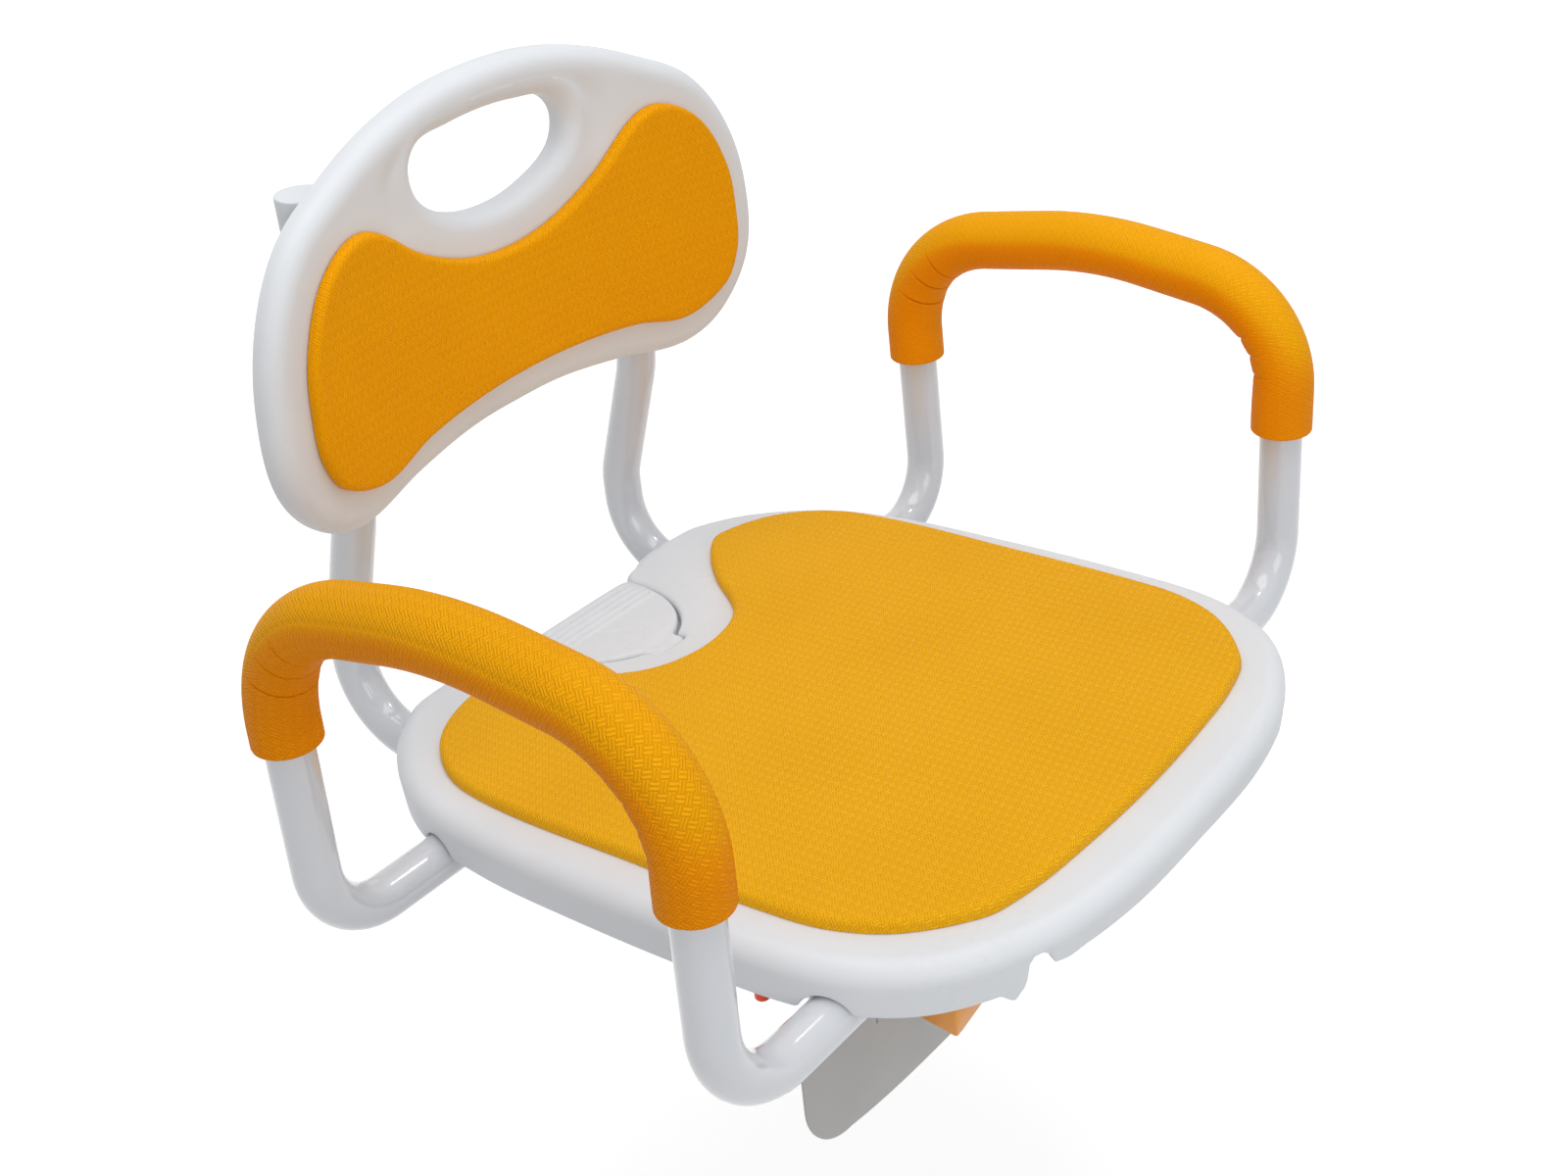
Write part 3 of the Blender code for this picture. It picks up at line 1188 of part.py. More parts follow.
def make_rear_lever():
    """Build the ribbed tongue behind the pad and the shaft that it turns."""
    pivot = add_pivot("rear_lever_axis", (0.0, REAR_SHAFT_Y, REAR_SHAFT_Z))
    place = (0.0, REAR_SHAFT_Y, REAR_SHAFT_Z)
    outline = tongue_outline()
    bottom = TONGUE_TOP - TONGUE_THICKNESS
    loops = [(0.0, bottom), (0.0, TONGUE_TOP - 0.0015), (0.0015, TONGUE_TOP)]
    shape = loft([[(p.x, p.y, height) for p in inset(outline, inward)] for inward, height in loops])
    tongue = add_object("release_tongue", shape, white_plastic, place, pivot)
    for number in range(TONGUE_RIB_COUNT):
        y = TONGUE_REAR - 0.0060 - TONGUE_RIB_PITCH * number
        rib = 0.0011
        half = TONGUE_HALF_WIDTH - 0.0060
        join(tongue, box((-half, y - rib, TONGUE_TOP - 0.001), (half, y + rib, TONGUE_TOP + TONGUE_RIB_HEIGHT)))
    hub = REAR_SHAFT_RADIUS + 0.0030
    for x in (-TONGUE_LUG_X, TONGUE_LUG_X):
        lug = [(REAR_SHAFT_Y - hub, bottom + 0.001), (REAR_SHAFT_Y - hub, REAR_SHAFT_Z - hub),
               (REAR_SHAFT_Y + hub, REAR_SHAFT_Z - hub), (REAR_SHAFT_Y + hub, bottom + 0.001)]
        join(tongue, extrude_x(lug, x - 0.0030, x + 0.0030))
        cut(tongue, rod(REAR_SHAFT_RADIUS + GAP, (x - 0.01, REAR_SHAFT_Y, REAR_SHAFT_Z), 0.02, "X", 16))
    left = ROD_X - CRANK_WIDTH / 2
    right = SHAFT_LUG_X + 0.0080
    shaft = add_object("release_shaft", rod(REAR_SHAFT_RADIUS, (left, REAR_SHAFT_Y, REAR_SHAFT_Z), right - left, "X"),
                       bright_steel, place, pivot)
    y = REAR_SHAFT_Y
    join(shaft, extrude_x(crank_neck(y, REAR_SHAFT_Z), left, left + CRANK_WIDTH))
    join(shaft, rod(CRANK_RADIUS, (left, y, ROD_HEIGHT), CRANK_WIDTH, "X"))
    join(shaft, rod(CRANK_RADIUS + 0.0015, (left, y, REAR_SHAFT_Z), CRANK_WIDTH, "X"))


def make_shaft_lugs(seat):
    """Build the two lugs behind the rear socket that carry the release shaft."""
    for side, x in sides_of(SHAFT_LUG_X):
        front = REAR_SOCKET_BACK
        back = REAR_SHAFT_Y + 0.0080
        outline = [(front, CROSS_HEIGHT - 0.0050), (back, CROSS_HEIGHT + 0.0020), (back, REAR_SHAFT_Z + 0.0070),
                   (front, REAR_SHAFT_Z + 0.0070)]
        lug = add_object(f"shaft_lug_{side}", extrude_x(outline, x - 0.0040, x + 0.0040), bright_steel, parent=seat)
        cut(lug, rod(REAR_SHAFT_RADIUS + SLIDE_GAP, (x - 0.01, REAR_SHAFT_Y, REAR_SHAFT_Z), 0.02, "X", 16))


def fork(y):
    """Return the U-shaped end of the pull rod that goes round a crank."""
    inner = CRANK_RADIUS + SLIDE_GAP
    outer = inner + FORK_WALL
    low, high = ROD_HEIGHT - 0.0040, ROD_HEIGHT + 0.0040
    left = ROD_X - CRANK_WIDTH / 2 - SLIDE_GAP - FORK_WALL
    right = ROD_X + CRANK_WIDTH / 2 + SLIDE_GAP + 0.0020
    outline = [
        (left, y - outer), (right, y - outer), (right, y - inner), (left + FORK_WALL, y - inner),
        (left + FORK_WALL, y + inner), (right, y + inner), (right, y + outer), (left, y + outer),
    ]
    return extrude_z(outline, low, high)


def make_latch():
    """Build the sliding latch with its cross bar and pull rod."""
    pivot = add_pivot("latch_axis", (0.0, LATCH_BAR_Y, ROD_HEIGHT))
    half = LATCH_NOSE_WIDTH / 2
    tip = -INDEX_RADIUS + LATCH_ENGAGEMENT
    bar_front = LATCH_BAR_Y - LATCH_BAR_WIDTH / 2
    bar_back = LATCH_BAR_Y + LATCH_BAR_WIDTH / 2
    nose = box((-half, bar_front + 0.001, LATCH_NOSE_BOTTOM), (half, tip, LATCH_NOSE_TOP))
    latch = add_object("latch_bolt", nose, bright_steel, (0.0, LATCH_BAR_Y, ROD_HEIGHT), pivot)
    bar_left = ROD_X + CRANK_WIDTH / 2 + SLIDE_GAP
    join(latch, box((bar_left, bar_front, LATCH_NOSE_BOTTOM + 0.0030), (half, bar_back, LATCH_BAR_TOP)))
    join(latch, fork(FRONT_AXLE_Y))
    join(latch, fork(REAR_SHAFT_Y))
    reach = CRANK_RADIUS + SLIDE_GAP + FORK_WALL - 0.0010
    low, high = ROD_HEIGHT - ROD_WIDTH / 2, ROD_HEIGHT + ROD_WIDTH / 2
    join(latch, box((ROD_X - ROD_WIDTH / 2, FRONT_AXLE_Y + reach, low), (ROD_X + ROD_WIDTH / 2, REAR_SHAFT_Y - reach, high)))


def make_latch_guides(seat):
    """Build the block that guides the latch nose and the hanger that guides the pull rod."""
    half = LATCH_NOSE_WIDTH / 2
    back = -(INDEX_RADIUS + LATCH_GUIDE_CLEARANCE)
    front = back - LATCH_GUIDE_DEPTH
    guide = add_object("latch_guide", box((-half - 0.008, front, LATCH_NOSE_BOTTOM - 0.0028),
                                          (half + 0.008, back, TURNTABLE_BOTTOM - GAP)), bright_steel, parent=seat)
    cut(guide, box((-half - SLIDE_GAP, front - 0.01, LATCH_NOSE_BOTTOM - SLIDE_GAP),
                   (half + SLIDE_GAP, back + 0.01, LATCH_NOSE_TOP + SLIDE_GAP)))
    side = ROD_WIDTH / 2
    hanger = add_object("rod_hanger", box((ROD_X - 0.008, ARM_REAR - 0.004, ROD_HEIGHT - 0.007),
                                          (ROD_X + 0.008, ARM_REAR + 0.004, SOCKET_BOTTOM - GAP)),
                        black_polymer, parent=seat)
    cut(hanger, box((ROD_X - side - SLIDE_GAP, ARM_REAR - 0.02, ROD_HEIGHT - side - SLIDE_GAP),
                    (ROD_X + side + SLIDE_GAP, ARM_REAR + 0.02, ROD_HEIGHT + side + SLIDE_GAP)))


def build():
    """Build the whole seat."""
    clear_scene()
    seat = add_pivot("seat_axis", (0.0, 0.0, 0.0))
    make_base()
    make_turntable(seat)
    make_centre_rails(seat)
    make_sockets(seat)
    make_seat_screws(seat)
    make_side_rails(seat)
    make_arm_buttons()
    make_seat_shell(seat)
    make_seat_pad(seat)
    make_arms(seat)
    make_uprights(seat)
    make_backrest(seat)
    make_back_pad(seat)
    make_guard(seat)
    make_front_lever(seat)
    make_rear_lever()
    make_shaft_lugs(seat)
    make_latch()
    make_latch_guides(seat)


build()
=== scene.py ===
"""Looks of a swivel bath seat: white mouldings, orange foam, coated tubes and the steel work below."""

import logging
import math
from collections.abc import Callable, Iterable, Sequence
from dataclasses import dataclass, field, replace
from enum import Enum
from functools import cache

import bmesh
import bpy
import numpy as np
from mathutils import Matrix, Vector
from mathutils.geometry import delaunay_2d_cdt


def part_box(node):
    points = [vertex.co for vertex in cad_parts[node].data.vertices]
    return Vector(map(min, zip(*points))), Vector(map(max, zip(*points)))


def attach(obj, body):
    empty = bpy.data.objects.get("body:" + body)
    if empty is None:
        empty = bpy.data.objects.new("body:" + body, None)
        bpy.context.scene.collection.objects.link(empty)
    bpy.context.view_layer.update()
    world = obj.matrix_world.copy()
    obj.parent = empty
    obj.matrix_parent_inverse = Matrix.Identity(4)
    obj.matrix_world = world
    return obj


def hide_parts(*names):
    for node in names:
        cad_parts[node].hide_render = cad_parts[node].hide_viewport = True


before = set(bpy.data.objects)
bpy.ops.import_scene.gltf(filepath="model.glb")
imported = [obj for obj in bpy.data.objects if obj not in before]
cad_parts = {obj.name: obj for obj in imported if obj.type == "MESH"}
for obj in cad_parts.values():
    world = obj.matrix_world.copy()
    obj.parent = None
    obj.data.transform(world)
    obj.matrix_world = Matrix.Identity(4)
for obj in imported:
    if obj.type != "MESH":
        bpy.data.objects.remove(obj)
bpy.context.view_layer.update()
MERGE_DISTANCE = 1e-6
PAD_SPACING = 0.003
WHITE = (1.0, 1.0, 1.0)
SHARP_ANGLE = math.radians(38)
FLAT_ANGLE = math.radians(0.5)

log = logging.getLogger("bath_seat")

Array = np.ndarray
Socket = bpy.types.NodeSocket
Object = bpy.types.Object
Place = Sequence[float]
Faces = Sequence[Sequence[int]]
Change = Callable[[Vector], Vector]
Flat = tuple[float, float]
Point = tuple[float, float, float]
Colour = tuple[float, float, float]


class Side(Enum):
    """The sitter's two sides, with the sign of X on each."""

    LEFT = 1
    RIGHT = -1

    @property
    def word(self) -> str:
        """The side's name as the nodes write it."""
        return self.name.lower()


class Body(Enum):
    """The moving bodies of the seat."""

    BASE = "base"
    SEAT = "seat"
    RELEASE = "release_lever"
    FRONT_LEVER = "front_lever"
    LATCH = "latch"
    LOCK_LEFT = "arm_lock_left"
    LOCK_RIGHT = "arm_lock_right"


class Slot(Enum):
    """The record's material slots."""

    MOULDING = "white_plastic"
    FOAM = "orange_foam"
    COATING = "white_coating"
    STEEL = "bright_steel"
    POLYMER = "black_polymer"
    SHEET = "grey_sheet"
    LEVER = "orange_plastic"
    BUTTON = "red_plastic"


class GroupKind(Enum):
    """Effects that several finishes share, each as one node group."""

    STITCH = "stitch_emboss"
    GRAIN = "moulded_grain"
    WEAR = "edge_and_dust"


@dataclass(frozen=True)
class FrameSizes:
    """Places that the tubes and the mouldings share, in metres."""

    tube_radius: float = 0.0133
    cross_height: float = 0.0650
    arm_front: float = -0.1300
    arm_rear: float = 0.1420
    upright_x: float = 0.1285
    seat_top: float = 0.1000
    gap: float = 0.0003
    curved_gap: float = 0.0008


FRAME = FrameSizes()


@dataclass
class MeshData:
    """A mesh being gathered, with one UV pair for each face corner where it has a UV map."""

    rings: list[list[int]] = field(default_factory=list)
    vertices: list[Point] = field(default_factory=list)
    faces: list[tuple[int, ...]] = field(default_factory=list)
    corners: list[Flat] = field(default_factory=list)

    def add_points(self, points: Iterable[Place]) -> list[int]:
        """Add points and return their numbers."""
        start = len(self.vertices)
        self.vertices.extend(tuple(float(value) for value in point) for point in points)
        return list(range(start, len(self.vertices)))

    def add_face(self, face: Sequence[int], uv: Sequence[Flat] | None = None) -> None:
        """Add one face, with a UV pair for each of its corners."""
        self.faces.append(tuple(face))
        self.corners.extend(uv if uv is not None else [(0.0, 0.0)] * len(face))

    def add_sheet(self, points: Array, faces: Faces, uv: Array | None = None) -> None:
        """Add a sheet of faces.

        Args:
            points: The sheet's points.
            faces: Its faces, by the points' places in the sheet.
            uv: The points' UV pairs.
        """
        numbers = self.add_points(points)
        for face in faces:
            pairs = None if uv is None else [tuple(uv[index]) for index in face]
            self.add_face([numbers[index] for index in face], pairs)

    def bridge(self, rings: Faces, uv: Array | None = None, closed: bool = True) -> None:
        """Join neighbouring rings of points with quads.

        Args:
            rings: Point numbers, ring by ring, with as many points in each.
            uv: UV pairs by ring and point, with one point more than the ring where it is closed.
            closed: Whether a ring's last point joins its first.
        """
        count = len(rings[0])
        last = count if closed else count - 1
        for row, (low, high) in enumerate(zip(rings, rings[1:])):
            for index in range(last):
                after = (index + 1) % count
                face = (low[index], low[after], high[after], high[index])
                if uv is None:
                    self.add_face(face)
                else:
                    places = ((row, index), (row, index + 1), (row + 1, index + 1), (row + 1, index))
                    self.add_face(face, [tuple(uv[place]) for place in places])

    def add_ring(self, points: Iterable[Place]) -> None:
        """Add points as the next ring of a surface."""
        self.rings.append(self.add_points(points))

    def join_rings(self, uv: Array | None = None, around: bool = False) -> None:
        """Join the rings added so far, and the last to the first where the surface runs around."""
        self.bridge(self.rings + self.rings[:1] if around else self.rings, uv)
        self.rings = []

    def add_turned(self, profile: Sequence[Flat], sides: int, place: Matrix, hollow: bool = False) -> None:
        """Add a body turned about its own Z axis.

        Args:
            profile: (radius, height) points.
            sides: Points round the axis.
            place: Where the body goes.
            hollow: Whether the profile runs back to its start round a bore; otherwise its ends are closed.
        """
        turns = full_turn(sides)
        for radius, height in profile:
            if radius > 0:
                ring = [(radius * math.cos(turn), radius * math.sin(turn), height) for turn in turns]
                self.add_ring([place @ Vector(point) for point in ring])
        ends = () if hollow else ((self.rings[0], profile[0][1]), (self.rings[-1], profile[-1][1]))
        self.join_rings(around=hollow)
        for ring, height in ends:
            middle = self.add_points([place @ Vector((0.0, 0.0, height))])[0]
            for index, point in enumerate(ring):
                self.add_face((point, ring[(index + 1) % sides], middle))

    def build(self, name: str, with_uv: bool = False, painted_light_shades: Sequence[float] = ()) -> Object:
        """Make the object, with its faces turned outwards and its doubles merged.

        Args:
            name: The piece's name.
            with_uv: Whether the corners hold a UV map in metres.
            painted_light_shades: Painted light (up to 1) or painted shade in creases (down to -1) on the
                first points.

        Returns:
            The linked object, smooth shaded and sharp at its edges.
        """
        mesh = bpy.data.meshes.new(name)
        mesh.from_pydata(self.vertices, [], self.faces)
        if with_uv:
            layer = mesh.uv_layers.new(name="UVMap")
            layer.data.foreach_set("uv", np.asarray(self.corners, np.float32).ravel())
        # The point attribute holds painted light on upturned faces and painted shade in creases.
        if len(painted_light_shades):
            held = mesh.attributes.new("painted_light_shade", "FLOAT", "POINT")
            plain = np.zeros(len(mesh.vertices) - len(painted_light_shades))
            held.data.foreach_set("value", np.append(painted_light_shades, plain).astype(np.float32))
        tidy_mesh(mesh)
        return placed(name, mesh)


def placed(name: str, data: bpy.types.ID) -> Object:
    """Put a new object in the scene.

    Args:
        name: The object's name.
        data: The mesh, curve, lamp or camera that it holds.

    Returns:
        The object.
    """
    item = bpy.data.objects.new(name, data)
    bpy.context.scene.collection.objects.link(item)
    return item


def tidy_mesh(mesh: bpy.types.Mesh, change: Change | None = None, flatten: bool = False) -> None:
    """Merge doubles, turn faces outwards and set the shading.

    Args:
        mesh: The mesh to change.
        change: Where given, moves each point once doubles are merged.
        flatten: Whether neighbouring faces in one plane are joined.
    """
    work = bmesh.new()
    work.from_mesh(mesh)
    bmesh.ops.remove_doubles(work, verts=work.verts, dist=MERGE_DISTANCE)
    for vertex in work.verts if change else ():
        vertex.co = change(vertex.co)
    if flatten:
        bmesh.ops.dissolve_limit(work, angle_limit=FLAT_ANGLE, verts=work.verts, edges=work.edges)
    bmesh.ops.recalc_face_normals(work, faces=work.faces)
    work.to_mesh(mesh)
    work.free()
    mesh.shade_smooth()
    mesh.set_sharp_from_angle(angle=SHARP_ANGLE)


def baked(item: Object) -> Object:
    """Turn an object and its modifiers into a plain mesh object of the same name.

    Args:
        item: The object, which is removed.

    Returns:
        The plain object, at the origin.
    """
    graph = bpy.context.evaluated_depsgraph_get()
    mesh = bpy.data.meshes.new_from_object(item.evaluated_get(graph), depsgraph=graph)
    mesh.transform(item.matrix_world)
    name = item.name
    bpy.data.objects.remove(item, do_unlink=True)
    return placed(name, mesh)


def rounded_path(corners: Sequence[Point], radii: Place, step: float = math.radians(3)) -> Array:
    """Return a line whose inner corners are rounded.

    Args:
        corners: The line's corners, ends included.
        radii: The bend radius at each inner corner.
        step: The largest turn between two points of a bend.

    Returns:
        Points along the line.
    """
    points = [Vector(corners[0])]
    for before, corner, after, radius in zip(corners, corners[1:], corners[2:], radii):
        corner = Vector(corner)
        incoming = (corner - Vector(before)).normalized()
        outgoing = (Vector(after) - corner).normalized()
        angle = incoming.angle(outgoing)
        start = corner - incoming * radius * math.tan(angle / 2)
        side = (outgoing - incoming * incoming.dot(outgoing)).normalized()
        centre = start + side * radius
        steps = max(2, math.ceil(angle / step))
        for number in range(steps + 1):
            turn = angle * number / steps
            points.append(centre - side * radius * math.cos(turn) + incoming * radius * math.sin(turn))
    points.append(Vector(corners[-1]))
    return np.array([tuple(point) for point in points])


def reach_along(line: Array) -> Array:
    """Return how far along a line each of its points lies."""
    return np.concatenate([[0.0], np.cumsum(np.linalg.norm(np.diff(line, axis=0), axis=1))])


def resampled(path: Array, spacing: float, closed: bool = False) -> Array:
    """Return a line with evenly spaced points.

    Args:
        path: The line's points.
        spacing: The distance wanted between points.
        closed: Whether the line ends where it starts.

    Returns:
        The new points.
    """
    line = np.vstack([path, path[:1]]) if closed else path
    reach = reach_along(line)
    count = max(2, round(reach[-1] / spacing) + 1)
    stations = np.linspace(0.0, reach[-1], count)
    points = np.column_stack([np.interp(stations, reach, line[:, axis]) for axis in range(line.shape[1])])
    return points[:-1] if closed else points


def mirrored_outline(half: Sequence[Flat], steps: int) -> Array:
    """Return a closed smooth curve through half an outline and its mirror image.

    Args:
        half: Points from the middle of one end, round one side, to the middle of the other end.
        steps: Points made between two neighbours.

    Returns:
        The outline's points.
    """
    whole = np.array(list(half) + [(-x, y) for x, y in half[-2:0:-1]])
    before, after, beyond = np.roll(whole, 1, 0), np.roll(whole, -1, 0), np.roll(whole, -2, 0)
    reach = np.linalg.norm(after - whole, axis=1, keepdims=True)
    leave = (after - before) * reach / np.linalg.norm(after - before, axis=1, keepdims=True)
    arrive = (beyond - whole) * reach / np.linalg.norm(beyond - whole, axis=1, keepdims=True)
    parts = []
    for number in range(steps):
        t = number / steps
        parts.append(
            whole * (2 * t**3 - 3 * t**2 + 1)
            + leave * (t**3 - 2 * t**2 + t)
            + after * (3 * t**2 - 2 * t**3)
            + arrive * (t**3 - t**2)
        )
    return np.stack(parts, axis=1).reshape(-1, 2)


def outward(loop: Array) -> Array:
    """Return the unit normals of a closed flat loop.

    Args:
        loop: The loop's points.

    Returns:
        A normal for each point, away from what the loop holds.
    """
    along = np.roll(loop, -1, 0) - np.roll(loop, 1, 0)
    along /= np.linalg.norm(along, axis=1, keepdims=True)
    x, y = loop[:, 0], loop[:, 1]
    area = np.sum(x * np.roll(y, -1) - np.roll(x, -1) * y)
    sign = 1.0 if area > 0 else -1.0
    return sign * np.column_stack([along[:, 1], -along[:, 0]])


def inside(points: Array, loop: Array) -> Array:
    """Return which flat points lie inside a closed loop.

    Args:
        points: The points asked about.
        loop: The loop's points.

    Returns:
        Whether each point lies inside.
    """
    held = np.zeros(len(points), bool)
    for (x0, y0), (x1, y1) in zip(loop, np.roll(loop, -1, 0)):
        crosses = (points[:, 1] < y0) != (points[:, 1] < y1)
        if y0 == y1:
            continue
        meets = x0 + (points[:, 1] - y0) * (x1 - x0) / (y1 - y0)
        held ^= crosses & (points[:, 0] < meets)
    return held


def distance_to(points: Array, loop: Array) -> Array:
    """Return how far flat points lie from a closed loop's edges.

    Args:
        points: The points asked about.
        loop: The loop's points.

    Returns:
        Each point's distance.
    """
    nearest = np.full(len(points), np.inf)
    for start, end in zip(loop, np.roll(loop, -1, 0)):
        run = end - start
        share = np.clip((points - start) @ run / max(run @ run, 1e-18), 0.0, 1.0)
        nearest = np.minimum(nearest, np.linalg.norm(points - start - share[:, None] * run, axis=1))
    return nearest


def sheet_triangles(loop: Array, spacing: float) -> tuple[Array, list[tuple[int, ...]]]:
    """Fill a closed flat loop with triangles of an even size.

    Args:
        loop: The loop's points, which come first in the result.
        spacing: The distance between points inside.

    Returns:
        The flat points and the triangles between them.
    """
    low, high = loop.min(0), loop.max(0)
    rows = np.arange(low[1] + spacing / 2, high[1], spacing * math.sqrt(0.75))
    points = []
    for number, row in enumerate(rows):
        start = low[0] + (spacing / 2 if number % 2 else 0.0)
        points += [(x, row) for x in np.arange(start, high[0], spacing)]
    grid = np.array(points)
    grid = grid[inside(grid, loop)]
    coarse = loop[:: max(1, len(loop) // 400)]
    grid = grid[distance_to(grid, coarse) > 0.6 * spacing]
    flat = [Vector(point) for point in np.vstack([loop, grid])]
    edges = [(index, (index + 1) % len(loop)) for index in range(len(loop))]
    points, _, faces, *_ = delaunay_2d_cdt(flat, edges, [], 1, 1e-7)
    return np.array([tuple(point) for point in points]), [tuple(face) for face in faces]


def smooth_step(value: Array | float) -> Array | float:
    """Return a value from 0 to 1 with soft ends."""
    value = np.clip(value, 0.0, 1.0)
    return value * value * (3.0 - 2.0 * value)


def soft_curve(at: Array, places: Sequence[float], values: Sequence[float]) -> Array:
    """Return a smooth curve's values, through chosen points and without overshoot.

    Args:
        at: Where the values are wanted.
        places: The chosen points' places, rising.
        values: The chosen points' values.

    Returns:
        The values.
    """
    places, values = np.asarray(places), np.asarray(values)
    number = np.clip(np.searchsorted(places, at, side="right") - 1, 0, len(places) - 2)
    share = smooth_step((at - places[number]) / (places[number + 1] - places[number]))
    return values[number] + (values[number + 1] - values[number]) * share


def quarter(radius: float, steps: int) -> list[Flat]:
    """Return (inset, drop) pairs round a quarter circle, from the side up to the top."""
    turns = np.linspace(0.0, math.pi / 2, steps + 1)
    return [(radius * (1 - math.cos(turn)), radius * (1 - math.sin(turn))) for turn in turns]


def full_turn(count: int) -> Array:
    """Return evenly spaced angles round a circle."""
    return np.linspace(0.0, math.tau, count, endpoint=False)


def arc(middle: Flat, radius: float, start: float, end: float, count: int) -> list[Flat]:
    """Return points round part of a circle.

    Args:
        middle: The circle's middle.
        radius: Its radius.
        start: The first point's angle, in quarter turns.
        end: The last point's angle, in quarter turns.
        count: How many points there are.

    Returns:
        The points.
    """
    turns = np.linspace(start, end, count) * math.pi / 2
    return [(middle[0] + radius * math.cos(turn), middle[1] + radius * math.sin(turn)) for turn in turns]


def at_height(flat: Array, height: Array | float) -> Array:
    """Return flat points lifted to one height, or each to its own."""
    return np.column_stack([flat, np.broadcast_to(height, len(flat))])


def box_of(node: str) -> tuple[Vector, Vector, Vector]:
    """Return the low corner, the middle and the high corner of a solid's box."""
    low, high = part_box(node)
    return low, (low + high) / 2, high


class NodeTools:
    """A short way of adding and joining a tree's nodes."""

    def __init__(self, tree: bpy.types.NodeTree) -> None:
        """Keep the tree that the nodes go into."""
        self.tree = tree

    def link(self, source: Socket, target: Socket) -> None:
        """Join an output to an input."""
        self.tree.links.new(source, target)

    def node(self, kind: str, inputs: dict | None = None, **settings: object) -> bpy.types.Node:
        """Add a node.

        Args:
            kind: The node's type.
            inputs: Values or sockets for its inputs, by name or number.
            settings: The node's own settings.

        Returns:
            The node.
        """
        made = self.tree.nodes.new(kind)
        for name, value in settings.items():
            setattr(made, name, value)
        for name, value in (inputs or {}).items():
            if isinstance(value, Socket):
                self.link(value, made.inputs[name])
            else:
                made.inputs[name].default_value = value
        return made


def opaque(colour: Socket | Colour) -> Socket | tuple[float, ...]:
    """Return a colour with its fourth number, or a socket as it is."""
    return (*colour, 1.0) if isinstance(colour, tuple) else colour


class ShaderTree(NodeTools):
    """Shader nodes, with the steps that the finishes use most."""

    def math(self, operation: str, *values: Socket | float) -> Socket:
        """Return the result of a Math node."""
        return self.node("ShaderNodeMath", dict(enumerate(values)), operation=operation).outputs[0]

    def choice(self, share: Socket, first: Socket, second: Socket) -> Socket:
        """Return the first value where the share is 0 and the second where it is 1."""
        return self.node("ShaderNodeMix", {0: share, 2: first, 3: second}, data_type="FLOAT").outputs[0]

    def ramp(self, value: Socket, low: float, high: float, start: float = 0.0, end: float = 1.0) -> Socket:
        """Return a value mapped smoothly from one range to another."""
        inputs = {"Value": value, "From Min": low, "From Max": high, "To Min": start, "To Max": end}
        return self.node("ShaderNodeMapRange", inputs, interpolation_type="SMOOTHSTEP").outputs["Result"]

    def mixed(self, share: Socket, first: Socket | Colour, second: Socket | Colour) -> Socket:
        """Return a colour between two colours."""
        inputs = {0: share, 6: opaque(first), 7: opaque(second)}
        return self.node("ShaderNodeMix", inputs, data_type="RGBA").outputs[2]

    def noise(self, vector: Socket, scale: Socket | float, detail: float = 2.0) -> Socket:
        """Return a noise value."""
        inputs = {"Vector": vector, "Scale": scale, "Detail": detail}
        return self.node("ShaderNodeTexNoise", inputs).outputs["Fac"]

    def bump(self, height: Socket, depth: float, under: Socket | None = None) -> Socket:
        """Return the normal of a relief, over another relief where given."""
        inputs = {"Height": height, "Distance": depth} | ({"Normal": under} if under else {})
        return self.node("ShaderNodeBump", inputs).outputs["Normal"]

    def group(self, kind: GroupKind, vector: Socket, **values: float) -> bpy.types.Node:
        """Place a shared group where the vector says, with this material's values."""
        return self.node("ShaderNodeGroup", {"Vector": vector, **values}, node_tree=SharedGroups.get(kind))

    def seen(self) -> Socket:
        """Return 1 for rays of the camera, of gloss and of glass, and 0 for others."""
        rays = self.node("ShaderNodeLightPath").outputs
        either = self.math("MAXIMUM", rays["Is Camera Ray"], rays["Is Glossy Ray"])
        return self.math("MAXIMUM", either, rays["Is Transmission Ray"])


